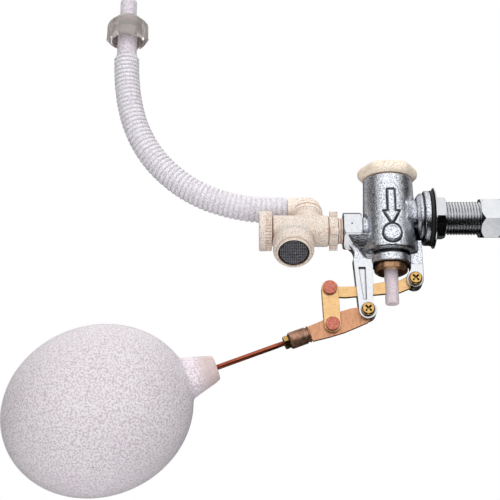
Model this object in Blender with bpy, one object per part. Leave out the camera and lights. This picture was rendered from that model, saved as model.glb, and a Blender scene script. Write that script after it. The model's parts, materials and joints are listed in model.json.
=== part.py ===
"""Float valve for a low toilet tank, with a hand-wash hose.

Millimetres in this script, metres in the scene. +Z is up. The origin is on the inlet
shank's axis at the outer face of the wall gasket, +X runs out through the tank wall,
and -Y is the front, where the link and the pivot screws are seen.
"""
import math

import bmesh
import bpy
from mathutils import Matrix, Vector

# ---------------------------------------------------------------- driving dimensions
MM = 0.001
GAP = 0.3                      # clearance between neighbouring pieces
WELD = 0.002                   # points closer than this are one point

BARREL_X = -26.8               # axis of the valve's barrel and its stem
BARREL_TOP = 25.0
BARREL_TOP_R = 15.5
BARREL_LOW = -23.0             # lower edge of the barrel's round wall
BARREL_LOW_R = 17.0
COLLAR_R = 12.7                # collar under the barrel that holds the gland bush
COLLAR_LOW = -31.4
BUSH_LOW = -36.2               # lower end of the gland bush's hexagon
CHAMBER_R = 11.3
SEAT_PLATE = (-6.0, -2.0)      # partition between the two chambers

SHANK_R = 10.48                # G1/2 thread, 20.955 mm over the crests
SHANK_ROOT_R = 9.32
SHANK_END = 35.0
PITCH = 1.814
BORE_R = 5.8
FLANGE_R = 17.2
GASKET_R = 17.4
GASKET_THICK = 2.0
WASHER_R = 19.0

SPOUT_Z = -8.5                 # axis of the outlet spout and the tee
SPOUT_HEX = 22.3               # across flats
SPOUT_END = -67.0
SPIGOT_R = 5.8
TEE_R = 9.85
TEE_BORE = 6.5
TEE_LEFT = -99.7
TEE_RIGHT = -65.0
PORT_X = -87.0
PORT_TILT = 55.0               # degrees below horizontal, to the front
PORT_REACH = 24.0
ELBOW_X = -77.6
ELBOW_TILT = 60.0              # degrees above horizontal, to the back
ELBOW_REACH = 21.3             # from the tee's axis to the hose's axis
KNOB_X = (-108.0, -100.0)
KNOB_R = 12.5

PIVOT_A = (-42.1, -60.9)       # float arm on the long fork (X, Z)
PIVOT_B = (-12.7, -41.4)       # upper lever on the short lug
PIVOT_C = (-64.9, -46.8)       # upper rivet
PIVOT_D = (-63.7, -69.7)       # lower rivet, on the float arm
PLATE_HALF = 1.3               # half thickness of lever and float arm
LEVER_EYE_R = 5.0              # round ends of the lever and the float arm at their pivots
SLOT_HALF = PLATE_HALF + 0.35  # half width of the fork slots
CHEEK_OUT = 4.65               # outer face of the fork cheeks
LINK_OUT = SLOT_HALF + 1.8
RIVET_SHANK_R = 1.9
RIVET_HEAD_R = 4.3
SCREW_SHANK_R = 2.0
SCREW_HEAD_R = 4.05
SCREW_HEAD = 3.0
LOOP_HOLE_R = 2.7              # upper rivet's hole in the lever, where the loop is open

STEM_R = 4.35
STEM_LOW = -56.2
PISTON_R = 7.0

ARM_SLOPE = 20.4               # degrees the float arm hangs below horizontal
ROD_DROP = -0.9                # rod axis below the float arm's pivot, across the arm
ROD_R = 1.6
SOCKET = (38.2, 51.4)          # along the arm from its pivot
SOCKET_R = 5.15
FLOAT_CENTRE = 172.7
FLOAT_LONG = 57.4              # half length of the float
FLOAT_WIDE = 50.3              # half width of the float
FLOAT_WALL = 1.6
NECK_END = 98.0
NECK_R = (7.8, 12.7)

HOSE_R = 8.3
HOSE_START = -90.3
NOZZLE = (119.1, 130.2, 161.6) # sleeve foot, nut foot, nozzle mouth
NOZZLE_R = 5.5
SLEEVE_R = 6.5
HOSE_NUT_FLATS = 24.6

AXIS_X = Vector((1, 0, 0))
AXIS_Y = Vector((0, 1, 0))
AXIS_Z = Vector((0, 0, 1))

# Route of the hose's axis in the plane where it lies (X, Z), picked by eye.
HOSE_ROUTE = [(-90.3, 9.95), (-98, 9.95), (-106, 10.0), (-114, 10.7), (-122, 12.2),
              (-131.6, 14.8), (-141.7, 18.6), (-151.8, 24.0), (-161.8, 31.3),
              (-170.8, 39.9), (-178.3, 49.6), (-184.3, 60.1), (-188.9, 71.4), (-192.1, 83.4),
              (-194.1, 95.5), (-195.2, 107.5), (-195.6, 118.8)]
HOSE_POINTS = 46

# Names, and each material's colour, roughness and metallic value.
FINISHES = {
    "rough_chrome": ((0.55, 0.56, 0.58), 0.32, 1.0),
    "bright_chrome": ((0.78, 0.79, 0.81), 0.10, 1.0),
    "brass": ((0.78, 0.56, 0.24), 0.28, 1.0),
    "lever_brass": ((0.80, 0.58, 0.27), 0.35, 1.0),
    "bronze": ((0.42, 0.24, 0.12), 0.42, 1.0),
    "copper": ((0.72, 0.30, 0.20), 0.30, 1.0),
    "cream_plastic": ((0.87, 0.78, 0.66), 0.38, 0.0),
    "white_plastic": ((0.86, 0.85, 0.84), 0.40, 0.0),
    "float_plastic": ((0.88, 0.86, 0.86), 0.45, 0.0),
    "hose_plastic": ((0.86, 0.84, 0.86), 0.35, 0.0),
    "clear_plastic": ((0.78, 0.76, 0.72), 0.30, 0.0),
    "black_rubber": ((0.02, 0.02, 0.02), 0.60, 0.0),
    "black_mesh": ((0.04, 0.04, 0.045), 0.50, 0.0),
}


# ---------------------------------------------------------------- frames and materials
def clear_scene():
    for item in list(bpy.data.objects):
        bpy.data.objects.remove(item, do_unlink=True)


def finish(name):
    """The named material, made once."""
    if name in bpy.data.materials:
        return bpy.data.materials[name]
    colour, roughness, metallic = FINISHES[name]
    material = bpy.data.materials.new(name)
    material.use_nodes = True
    shader = material.node_tree.nodes["Principled BSDF"]
    shader.inputs["Base Color"].default_value = (*colour, 1.0)
    shader.inputs["Roughness"].default_value = roughness
    shader.inputs["Metallic"].default_value = metallic
    return material


def frame(origin, x_axis, y_axis):
    """Local axes at an origin: local Z is x_axis cross y_axis."""
    x_axis = Vector(x_axis).normalized()
    y_axis = Vector(y_axis).normalized()
    z_axis = x_axis.cross(y_axis)
    matrix = Matrix((x_axis, y_axis, z_axis)).transposed().to_4x4()
    matrix.translation = Vector(origin)
    return matrix


def along(origin, axis, up=(0, 1, 0)):
    """Local axes for turned pieces: local Z lies along the axis."""
    axis = Vector(axis).normalized()
    side = Vector(up).cross(axis).normalized()
    return frame(origin, side, axis.cross(side))


UPRIGHT = along((BARREL_X, 0, 0), AXIS_Z)
INLET = along((0, 0, 0), AXIS_X)
OUTLET = along((0, 0, SPOUT_Z), AXIS_X)
SIDE = frame((0, 0, 0), AXIS_X, AXIS_Z)           # flat plates, drawn in X and Z
SLOPE = math.radians(ARM_SLOPE)
ARM_OUT = Vector((-math.cos(SLOPE), 0, -math.sin(SLOPE)))
ARM_UP = Vector((-math.sin(SLOPE), 0, math.cos(SLOPE)))
ARM = frame((PIVOT_A[0], 0, PIVOT_A[1]), ARM_OUT, ARM_UP)
ROD = along(ARM @ Vector((0, ROD_DROP, 0)), ARM_OUT)


def tilted(x, degrees, to_back):
    """Axis leaving the tee at x, tilted from horizontal, to the back and up or front and down."""
    angle = math.radians(degrees)
    way = 1 if to_back else -1
    axis = Vector((0, way * math.cos(angle), way * math.sin(angle)))
    return along((x, 0, SPOUT_Z), axis, up=(1, 0, 0))


PORT = tilted(PORT_X, PORT_TILT, False)
ELBOW = tilted(ELBOW_X, ELBOW_TILT, True)
HOSE_CENTRE = ELBOW @ Vector((0, 0, ELBOW_REACH))
HOSE_Y = HOSE_CENTRE.y
HOSE_TOP_X = HOSE_ROUTE[-1][0]
RISER = along((HOSE_TOP_X, HOSE_Y, 0), AXIS_Z)


# ---------------------------------------------------------------- shape makers
def to_object(mesh_data, matrix, name="piece"):
    """Turn a bmesh drawn in millimetres into a scene object in metres."""
    bmesh.ops.transform(mesh_data, matrix=matrix, verts=mesh_data.verts)
    bmesh.ops.scale(mesh_data, vec=(MM, MM, MM), verts=mesh_data.verts)
    bmesh.ops.recalc_face_normals(mesh_data, faces=mesh_data.faces)
    mesh = bpy.data.meshes.new(name)
    mesh_data.to_mesh(mesh)
    mesh_data.free()
    piece = bpy.data.objects.new(name, mesh)
    bpy.context.scene.collection.objects.link(piece)
    return piece


def turned(profile, matrix, steps=24, radius_at=None, twist=0.0):
    """Solid of revolution about local Z from a closed outline of (radius, height) points.

    A point at radius 0 closes the solid on its axis, with one flat face where the next
    point is at the same height. radius_at(radius, height, step) may change a radius from
    step to step, for ribs and flats. twist turns the first corner by a share of a step.
    """
    mesh_data = bmesh.new()
    rings = []
    for index, (radius, height) in enumerate(profile):
        if radius == 0:
            flat = height in (profile[index - 1][1], profile[(index + 1) % len(profile)][1])
            rings.append([] if flat else [mesh_data.verts.new((0, 0, height))])
            continue
        ring = []
        for step in range(steps):
            angle = 2 * math.pi * (step + twist) / steps
            size = radius_at(radius, height, step) if radius_at else radius
            ring.append(mesh_data.verts.new((size * math.cos(angle), size * math.sin(angle), height)))
        rings.append(ring)
    for first, second in zip(rings, rings[1:] + rings[:1]):
        join_rings(mesh_data, first, second)
    return to_object(mesh_data, matrix)


def join_rings(mesh_data, first, second):
    """Faces between two rings; an empty ring makes a flat cap, a single point makes a tip."""
    steps = max(len(first), len(second))
    if steps <= 1:
        return
    if not first or not second:
        mesh_data.faces.new(first or second)
        return
    for step in range(steps):
        after = (step + 1) % steps
        corners = [first[step % len(first)], first[after % len(first)],
                   second[after % len(second)], second[step % len(second)]]
        unique = []
        for corner in corners:
            if corner not in unique:
                unique.append(corner)
        mesh_data.faces.new(unique)


def tube(inner, outer, low, high, matrix, steps=24):
    return turned([(inner, low), (outer, low), (outer, high), (inner, high)], matrix, steps)


def rod(radius, low, high, matrix, steps=20):
    """Plain cylinder, twisted a little so that a cut never runs along another piece's edges."""
    return turned([(0, low), (radius, low), (radius, high), (0, high)], matrix, steps, twist=0.31)


def plate(outline, low, high, matrix):
    """Flat piece from a 2D outline, between two heights along local Z."""
    mesh_data = bmesh.new()
    bottom = [mesh_data.verts.new((x, y, low)) for x, y in outline]
    top = [mesh_data.verts.new((x, y, high)) for x, y in outline]
    mesh_data.faces.new(bottom)
    mesh_data.faces.new(top)
    join_rings(mesh_data, bottom, top)
    return to_object(mesh_data, matrix)


def block(low, high, matrix=Matrix.Identity(4)):
    outline = [(low[0], low[1]), (high[0], low[1]), (high[0], high[1]), (low[0], high[1])]
    return plate(outline, low[2], high[2], matrix)


def arc(centre, radius, start, end, steps):
    """Points on a circle from one angle to another, in degrees."""
    points = []
    for step in range(steps + 1):
        angle = math.radians(start + (end - start) * step / steps)
        points.append((centre[0] + radius * math.cos(angle), centre[1] + radius * math.sin(angle)))
    return points


def hexagon(flats, turn=0.0):
    """Corners of a hexagon; turn is the angle of its first corner in degrees."""
    return arc((0, 0), flats / math.sqrt(3), turn, turn + 300, 5)


def combine(base, tools, operation):
    """Join or cut solids with exact booleans; the tools are used up."""
    for tool in tools:
        modifier = base.modifiers.new("combine", "BOOLEAN")
        modifier.operation = operation
        modifier.solver = "EXACT"
        modifier.object = tool
        graph = bpy.context.evaluated_depsgraph_get()
        mesh = bpy.data.meshes.new_from_object(base.evaluated_get(graph))
        base.modifiers.clear()
        base.data = mesh
        bpy.data.objects.remove(tool, do_unlink=True)
    tidy(base)
    return base


def tidy(piece):
    """Weld points that a boolean left closer than the weld distance."""
    mesh_data = bmesh.new()
    mesh_data.from_mesh(piece.data)
    bmesh.ops.remove_doubles(mesh_data, verts=mesh_data.verts, dist=WELD * MM)
    bmesh.ops.dissolve_degenerate(mesh_data, edges=mesh_data.edges, dist=WELD * MM)
    bmesh.ops.triangulate(mesh_data, faces=[face for face in mesh_data.faces if len(face.verts) > 4])
    mesh_data.to_mesh(piece.data)
    mesh_data.free()


def joined(base, *tools):
    return combine(base, tools, "UNION")


def cut(base, *tools):
    return combine(base, tools, "DIFFERENCE")


def shared(base, *tools):
    return combine(base, tools, "INTERSECT")


def name_piece(piece, name, material, origin=None):
    """Name a finished piece, give it its material and put its origin on its joint's axis."""
    piece.name = name
    piece.data.name = name
    piece.data.materials.clear()
    piece.data.materials.append(finish(material))
    if origin is not None:
        place = Vector(origin) * MM
        piece.data.transform(Matrix.Translation(-place))
        piece.location = place
    piece.data.shade_smooth()
    piece.data.set_sharp_from_angle(angle=math.radians(35))
    return piece


def pivot(point):
    """A pivot drawn in X and Z, as a point in space."""
    return (point[0], 0, point[1])


def pin_frame(point):
    """Local Z along +Y through a pivot."""
    return along(pivot(point), AXIS_Y, up=(0, 0, 1))


# ---------------------------------------------------------------- the valve body
def make_valve_body():
    """One casting: barrel, neck, flange, threaded shank, spout, long fork and short lug."""
    body = turned([(0, BARREL_TOP), (BARREL_TOP_R, BARREL_TOP), (BARREL_LOW_R, BARREL_LOW),
                   (14.8, BARREL_LOW - 1.6), (12.1, BARREL_LOW - 1.8), (12.1, BARREL_LOW - 2.8),
                   (COLLAR_R, BARREL_LOW - 3.2), (COLLAR_R, COLLAR_LOW), (0, COLLAR_LOW)], UPRIGHT, 36)
    joined(body, make_neck(), make_shank(), make_spout(), make_web(), make_fork(), make_lug())
    cut(body,
        rod(CHAMBER_R, SEAT_PLATE[1], BARREL_TOP + 5, UPRIGHT, 28),
        rod(6.8, SEAT_PLATE[0] - 1, SEAT_PLATE[1] + 1, UPRIGHT),
        rod(CHAMBER_R, -21.7, SEAT_PLATE[0], UPRIGHT, 28),
        rod(9.2, COLLAR_LOW - 5, -21, UPRIGHT, 24),
        rod(BORE_R, -15.9, SHANK_END + 5, INLET),
        rod(4.2, SPOUT_END - 5, -37.6, OUTLET))
    cut(body,
        block((-60, -SLOT_HALF, -80), (-34, SLOT_HALF, -33.5)),
        block((-22, -SLOT_HALF, -60), (-1, SLOT_HALF, -33.2)),
        fork_recess(),
        rod(SCREW_SHANK_R + GAP, -9, 9, pin_frame(PIVOT_A)),
        rod(SCREW_SHANK_R + GAP, -9, 9, pin_frame(PIVOT_B)))
    return name_piece(body, "valve_body", "rough_chrome")


def make_neck():
    """Neck and wall flange, turned about the inlet's axis."""
    face = -GASKET_THICK - GAP
    return turned([(0, -17), (12.2, -17), (11.4, -12.6), (12.6, -10.4), (15.6, -9.6),
                   (FLANGE_R, -7.6), (FLANGE_R, face), (0, face)], INLET, 32)


def make_shank():
    """Threaded shank, with one ridge for each turn of its thread."""
    profile = [(0, -5), (SHANK_ROOT_R, -5)]
    foot = 0.0
    while foot + PITCH < SHANK_END:
        profile += [(SHANK_ROOT_R, foot + 0.1 * PITCH), (SHANK_R, foot + 0.6 * PITCH)]
        foot += PITCH
    profile += [(SHANK_ROOT_R, SHANK_END), (0, SHANK_END)]
    return turned(profile, INLET, 18)


def make_spout():
    """Short neck, hexagon and spigot, turned about the outlet's axis."""
    neck = turned([(0, -54), (8.1, -54), (8.1, -44), (8.8, -41), (9.6, -36), (0, -36)], OUTLET, 28)
    spigot = turned([(0, SPOUT_END), (SPIGOT_R - 0.5, SPOUT_END), (SPIGOT_R, SPOUT_END + 0.5),
                     (SPIGOT_R, -64.6), (4.9, -64.6), (4.9, -62.6), (SPIGOT_R, -62.6),
                     (SPIGOT_R, -53), (0, -53)], OUTLET)
    corner = SPOUT_HEX / math.sqrt(3)
    hexed = plate(hexagon(SPOUT_HEX, 54), -55.7, -44.6, OUTLET)
    chamfers = turned([(0, -55.8), (corner - 1.3, -55.8), (corner + 0.2, -54.3), (corner + 0.2, -46.0),
                       (corner - 1.3, -44.5), (0, -44.5)], OUTLET, 30)
    shared(hexed, chamfers)
    return joined(neck, spigot, hexed)


def make_web():
    """Curved rib from the spout down to the head of the long fork."""
    outline = [(-53.0, -15.5), (-36.0, -15.0), (-36.0, -29.5), (-49.9, -29.5)]
    outline += arc((-55.5, -24.0), 6.2, -20, 62, 5)
    return plate(outline, -4.2, 4.2, SIDE)


def make_fork():
    """Long fork: tapered outline ending in a round eye about the float arm's pivot."""
    outline = [(-50.2, -27.8), (-37.9, -27.8), (-38.2, -31.5), (-38.9, -56.0)]
    outline += arc(PIVOT_A, 5.5, 48, -186, 18)
    return plate(outline, -CHEEK_OUT, CHEEK_OUT, SIDE)


def fork_recess():
    """Shallow tapered pocket in the fork's front face."""
    outline = [(-47.2, -33.7), (-42.8, -33.7), (-42.6, -54.6), (-44.8, -54.6)]
    return plate(outline, CHEEK_OUT - 0.9, CHEEK_OUT + 2, SIDE)


def make_lug():
    """Short lug under the barrel's inlet side, for the upper lever's pivot."""
    outline = [(-7.6, -17.0), (-7.5, PIVOT_B[1])]
    outline += arc(PIVOT_B, 5.2, -10, -190, 14)
    outline += [(-17.6, -39.0), (-15.0, -34.6), (-15.0, -17.0)]
    return plate(outline, -CHEEK_OUT, CHEEK_OUT, SIDE)


# ---------------------------------------------------------------- inside the barrel
def make_top_cap():
    """Plastic hexagon cap with a plug that closes the barrel."""
    low = BARREL_TOP + GAP
    cap = plate(hexagon(34.0), low, 33.5, UPRIGHT)
    dome = turned([(0, low - 1), (18.0, low - 1), (19.1, low + 1.2), (19.1, low + 4.6), (18.0, low + 7.0),
                   (15.8, low + 8.2), (0, low + 8.2)], UPRIGHT, 24)
    shared(cap, dome)
    plug = turned([(0, 15.5), (10.2, 15.5), (10.9, 16.4), (10.9, 18.0), (9.0, 18.0), (9.0, 20.4),
                   (10.9, 20.4), (10.9, low + 1), (0, low + 1)], UPRIGHT, 28)
    joined(cap, plug)
    return name_piece(cap, "top_cap", "cream_plastic")


def ring_seal(name, centre_radius, height, section, matrix):
    """Round rubber ring with a six-sided section."""
    profile = []
    for corner in range(6):
        angle = 2 * math.pi * (corner + 0.5) / 6
        profile.append((centre_radius + section * math.cos(angle), height + section * math.sin(angle)))
    return name_piece(turned(profile, matrix), name, "black_rubber")


def make_valve_seat():
    """Flanged seat ring with a narrow lip facing down."""
    profile = [(4.7, -7.4), (5.3, -7.4), (5.9, -6.4), (6.45, -6.4), (6.45, -1.7), (8.3, -1.7),
               (8.3, -0.6), (5.0, -0.6), (4.7, -1.0)]
    return name_piece(turned(profile, UPRIGHT), "valve_seat", "brass")


def make_piston_stem():
    """Plastic piston with a cup for the disc, and its slotted stem below."""
    profile = [(0, -13.9), (6.6, -13.9), (6.6, -11.4), (PISTON_R, -11.4), (PISTON_R, -22.2), (5.5, -22.2),
               (5.5, -24.4), (PISTON_R, -24.4), (PISTON_R, -27.6), (6.2, -28.4), (STEM_R, -28.4),
               (4.0, STEM_LOW + 0.9), (3.2, STEM_LOW), (0, STEM_LOW)]
    stem = turned(profile, UPRIGHT, 28)
    slot = block((BARREL_X - 8, -SLOT_HALF, -51.2), (BARREL_X + 8, SLOT_HALF, -40.3))
    cut(stem, slot)
    return name_piece(stem, "piston_stem", "white_plastic", (BARREL_X, 0, 0))


def make_valve_disc():
    profile = [(0, -13.6), (6.2, -13.6), (6.2, -11.3), (5.8, -10.9), (0, -10.9)]
    return name_piece(turned(profile, UPRIGHT), "valve_disc", "black_rubber", (BARREL_X, 0, 0))


def make_gland_bush():
    """Hexagon bush screwed into the collar; the piston slides in it."""
    head = plate(hexagon(19.0), BUSH_LOW, COLLAR_LOW - GAP, UPRIGHT)
    sleeve = rod(8.9, COLLAR_LOW - 1.0, -22.0, UPRIGHT, 24)
    joined(head, sleeve)
    bore = turned([(0, BUSH_LOW - 1), (9.1, BUSH_LOW - 1), (9.1, BUSH_LOW), (8.3, BUSH_LOW + 1.2),
                   (7.6, BUSH_LOW + 1.6), (7.6, -21), (0, -21)], UPRIGHT, 28)
    cut(head, bore)
    return name_piece(head, "gland_bush", "brass")


# ---------------------------------------------------------------- on the shank
def make_wall_gasket():
    return name_piece(tube(SHANK_R + GAP, GASKET_R, -GASKET_THICK, 0, INLET, 36),
                      "wall_gasket", "black_rubber")


def make_wall_washer():
    return name_piece(tube(SHANK_R + GAP, WASHER_R, GAP, 1.1, INLET, 36), "wall_washer", "bright_chrome")


def chamfered_nut(flats, low, high, chamfer, both_ends, turn):
    """Hexagon nut blank about the inlet's axis with its corners turned down."""
    corner = flats / math.sqrt(3)
    blank = plate(hexagon(flats, turn), low, high, INLET)
    drop = corner - flats / 2
    foot = corner - drop * 0.95 if both_ends else corner + 0.3
    limits = [(0, low - 0.1), (foot, low - 0.1)]
    if both_ends:
        limits.append((corner + 0.2, low + chamfer))
    limits += [(corner + 0.2, high - chamfer), (corner - drop * 0.95, high + 0.1), (0, high + 0.1)]
    return shared(blank, turned(limits, INLET, 30))


def make_lock_nut():
    nut = chamfered_nut(24.5, 1.4, 7.6, 1.4, False, 50)
    cut(nut, rod(SHANK_R + GAP, 0, 9, INLET, 24))
    return name_piece(nut, "lock_nut", "bright_chrome")


def make_end_nut():
    """Union nut for the supply pipe: threaded half over the shank, small hole for the pipe."""
    nut = chamfered_nut(24.0, 29.3, 42.3, 2.6, True, 50)
    cut(nut, rod(SHANK_R + GAP, 28, 40.0, INLET, 24), rod(6.6, 39, 44, INLET))
    return name_piece(nut, "end_nut", "bright_chrome")


def make_supply_packing():
    return name_piece(tube(6.6, 10.2, SHANK_END + GAP, 37.4, INLET), "supply_packing", "black_rubber")


# ---------------------------------------------------------------- tee, knob and elbow
def make_tee():
    """Plastic tee: run along X, a screened port to the front, a swivel boss to the back."""
    tee = turned([(0, TEE_LEFT), (TEE_R, TEE_LEFT), (TEE_R, TEE_RIGHT), (7.6, TEE_RIGHT), (7.6, -60.6),
                  (0, -60.6)], OUTLET, 36)
    port = turned([(0, 1), (10.6, 1), (11.0, 7), (12.4, 11.5), (12.6, PORT_REACH - 1.8),
                   (11.6, PORT_REACH - 0.4), (10.4, PORT_REACH), (0, PORT_REACH)], PORT, 32)
    boss = turned([(0, 1), (9.2, 1), (9.2, 11.0), (9.9, 11.4), (9.9, 12.9), (6.0, 12.9), (6.0, 17.0),
                   (0, 17.0)], ELBOW, 24)
    joined(tee, port, boss)
    cut(tee,
        rod(TEE_BORE, TEE_LEFT - 3, -60, OUTLET, 24),
        rod(4.5, 2, PORT_REACH - 8, PORT),
        rod(9.6, PORT_REACH - 9, PORT_REACH + 3, PORT, 32),
        rod(4.0, 2, 20, ELBOW))
    return name_piece(tee, "tee_body", "cream_plastic")


def make_port_screen():
    return name_piece(rod(9.3, PORT_REACH - 1.9, PORT_REACH - 1.1, PORT, 28), "port_screen", "black_mesh")


def make_tee_union_nut():
    """Plastic coupling nut with four lugs, over the tee's threaded end."""
    nut = rod(9.1, -64.7, -59.2, OUTLET, 28)
    lugs = []
    for quarter in range(4):
        angle = math.radians(20 + 90 * quarter)
        out = Vector((0, -math.cos(angle), -math.sin(angle)))
        lugs.append(block((-64.2, -1.8, 7), (-59.2, 1.8, 12.2),
                          frame((0, 0, SPOUT_Z), AXIS_X, out.cross(AXIS_X))))
    joined(nut, *lugs)
    cut(nut, rod(7.9, -66, -60.3, OUTLET, 24), rod(SPIGOT_R + GAP, -61, -58, OUTLET))
    return name_piece(nut, "tee_union_nut", "cream_plastic")


def make_spout_washer():
    return name_piece(tube(SPIGOT_R + GAP, 8.1, -58.9, -56.0, OUTLET), "spout_washer", "cream_plastic")


def make_flow_knob():
    """Round adjusting knob with fine ribs round its inner half."""
    left, right = KNOB_X
    ribs = 24

    def ribbed(radius, height, step):
        if height < left + 4.1 or radius < KNOB_R - 0.2:
            return radius
        return radius if step % 2 else radius - 0.45

    knob = turned([(0, left), (KNOB_R - 1.2, left), (KNOB_R - 0.1, left + 0.9), (KNOB_R, left + 4.0),
                   (KNOB_R, left + 4.2), (KNOB_R, right), (0, right)], OUTLET, 2 * ribs, ribbed)
    cut(knob, rod(3.3, left + 3, right + 1, OUTLET))
    return name_piece(knob, "flow_knob", "cream_plastic", (KNOB_X[1], 0, SPOUT_Z))


def make_flow_spindle():
    """Spindle pressed into the knob, ending in the plug that throttles the hose branch."""
    left = KNOB_X[0] + 3.3
    profile = [(0, left), (3.0, left), (3.0, -90.0), (5.9, -88.5), (6.1, -87.5), (6.1, -79.5), (0, -79.5)]
    spindle = turned(profile, OUTLET, 24)
    return name_piece(spindle, "flow_spindle", "white_plastic", (KNOB_X[1], 0, SPOUT_Z))


def make_spindle_bush():
    return name_piece(tube(3.3, 6.2, TEE_LEFT + 0.4, -94.0, OUTLET), "spindle_bush", "brass")


def make_elbow():
    """Swivel elbow: domed cap over the tee's boss, with a leg that turns to the hose."""
    base = 13.2
    dome = turned([(0, base), (9.7, base), (9.9, base + 0.6), (9.9, base + 3.2), (9.2, base + 3.6),
                   (9.2, base + 6.8), (8.6, base + 10.0), (6.8, base + 12.4), (4.0, base + 14.0),
                   (0, base + 14.6)], ELBOW, 28)
    leg = rod(7.3, ELBOW_X, HOSE_START + GAP, along((0, HOSE_Y, HOSE_CENTRE.z), AXIS_X), 28)
    joined(dome, leg)
    cut(dome, rod(6.5, base - 2, 17.6, ELBOW, 24), rod(4.2, 17, ELBOW_REACH, ELBOW),
        rod(4.2, HOSE_START - 2, ELBOW_X, along((0, HOSE_Y, HOSE_CENTRE.z), AXIS_X)))
    return name_piece(dome, "hose_elbow", "cream_plastic", ELBOW @ Vector((0, 0, base)))


# ---------------------------------------------------------------- levers and link
def make_upper_lever():
    """Brass plate from the upper rivet, through the stem's slot, to its pivot."""
    outline = arc(PIVOT_B, LEVER_EYE_R, -115, 140, 16)
    outline += [(-21.5, -41.0), (-34.0, -42.6), (-47.5, -45.1)]
    outline += arc(PIVOT_C, 4.9, 20, 262, 16)
    outline += [(-55.4, -52.2), (-34.2, -50.2), (-21.9, -49.0)]
    lever = plate(outline, -PLATE_HALF, PLATE_HALF, SIDE)
    cut(lever, rod(SCREW_SHANK_R + GAP, -3, 3, pin_frame(PIVOT_B)),
        rod(LOOP_HOLE_R, -3, 3, pin_frame(PIVOT_C)))
    return name_piece(lever, "upper_lever", "lever_brass", pivot(PIVOT_B))


def make_link_bar(name, low, high):
    """Straight link with round ends between the two rivets."""
    run = Vector(PIVOT_D) - Vector(PIVOT_C)
    turn = math.degrees(math.atan2(run.y, run.x))
    outline = arc(PIVOT_D, 5.1, turn - 90, turn + 90, 14) + arc(PIVOT_C, 5.1, turn + 90, turn + 270, 14)
    bar = plate(outline, low, high, SIDE)
    cut(bar, rod(RIVET_SHANK_R + GAP, -9, 9, pin_frame(PIVOT_C)),
        rod(RIVET_SHANK_R + GAP, -9, 9, pin_frame(PIVOT_D)))
    return name_piece(bar, name, "lever_brass", pivot(PIVOT_D))


def make_rivet(name, place):
    """Copper rivet with a flat head at each end."""
    inner = LINK_OUT + GAP
    outer = inner + 1.5
    half = [(RIVET_SHANK_R, inner), (RIVET_HEAD_R, inner), (RIVET_HEAD_R, outer - 0.4),
            (RIVET_HEAD_R - 0.4, outer), (0, outer)]
    profile = [(radius, -height) for radius, height in reversed(half)] + half
    return name_piece(turned(profile, pin_frame(place)), name, "copper", pivot(PIVOT_D))


def make_pivot_screw(name, place):
    """Cross-head brass screw through both cheeks of a fork."""
    face = CHEEK_OUT + GAP + SCREW_HEAD
    profile = [(0, 4.0), (SCREW_SHANK_R, 4.0), (SCREW_SHANK_R, -CHEEK_OUT - GAP),
               (SCREW_HEAD_R, -CHEEK_OUT - GAP), (SCREW_HEAD_R, -face + 0.5),
               (SCREW_HEAD_R - 0.5, -face), (0, -face)]
    screw = turned(profile, pin_frame(place))
    arms = [block((-2.2, -0.5, -face - 1), (2.2, 0.5, -face + 1.3), cross_frame(place, 45 + 90 * arm))
            for arm in range(2)]
    cut(screw, joined(*arms))
    return name_piece(screw, name, "brass")


def cross_frame(place, degrees):
    """Axes for one bar of the screw's cross, turned about the pivot."""
    angle = math.radians(degrees)
    bar = Vector((math.cos(angle), 0, math.sin(angle)))
    return frame(pivot(place), bar, AXIS_Y.cross(bar))


# ---------------------------------------------------------------- float arm and float
def make_float_arm():
    """Bronze plate from the fork's pivot to the rod socket, drawn along and across the arm."""
    outline = arc((0, 0), LEVER_EYE_R, 250, 50, 18)
    outline += [(8.5, 5.2), (15.7, 5.6), (21.5, 5.0), (27.6, 4.1), (SOCKET[0] - GAP, 3.6)]
    outline += [(SOCKET[0] - GAP, 3.2), (SOCKET[0] + 5.9, 3.0), (SOCKET[0] + 5.9, -4.8),
                (SOCKET[0] - GAP, -5.2), (SOCKET[0] - GAP, -6.0)]
    outline += [(27.4, -7.1), (17.9, -7.6), (9.9, -7.2), (2.5, -6.7)]
    arm = plate(outline, -PLATE_HALF, PLATE_HALF, ARM)
    cut(arm, rod(SCREW_SHANK_R + GAP, -3, 3, pin_frame(PIVOT_A)),
        rod(RIVET_SHANK_R + GAP, -3, 3, pin_frame(PIVOT_D)))
    return name_piece(arm, "float_arm", "bronze", pivot(PIVOT_A))


def make_rod_socket():
    """Turned socket, slotted for the arm and bored for the rod."""
    low, high = SOCKET
    socket = turned([(0, low), (SOCKET_R - 0.4, low), (SOCKET_R, low + 0.5), (SOCKET_R, high - 0.8),
                     (SOCKET_R - 0.7, high), (0, high)], ROD)
    slot = block((low - 2, -8, -SLOT_HALF), (low + 6.3, 8, SLOT_HALF), ARM)
    cut(socket, slot, rod(ROD_R + GAP, low + 5.5, high + 2, ROD))
    return name_piece(socket, "rod_socket", "bronze", pivot(PIVOT_A))


def make_rod_nut():
    nut = plate(hexagon(7.3, 30), SOCKET[1] + GAP, SOCKET[1] + 3.2, ROD)
    cut(nut, rod(ROD_R + GAP, SOCKET[1], SOCKET[1] + 5, ROD))
    return name_piece(nut, "rod_lock_nut", "brass", pivot(PIVOT_A))


def make_float_rod():
    return name_piece(rod(ROD_R, SOCKET[0] + 6.7, NECK_END + 22, ROD, 16),
                      "float_rod", "copper", pivot(PIVOT_A))


def ellipse_point(angle, long_half, wide_half):
    """Radius and distance along the rod of a point on the float's outline."""
    return (wide_half * math.sin(angle), FLOAT_CENTRE - long_half * math.cos(angle))


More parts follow.
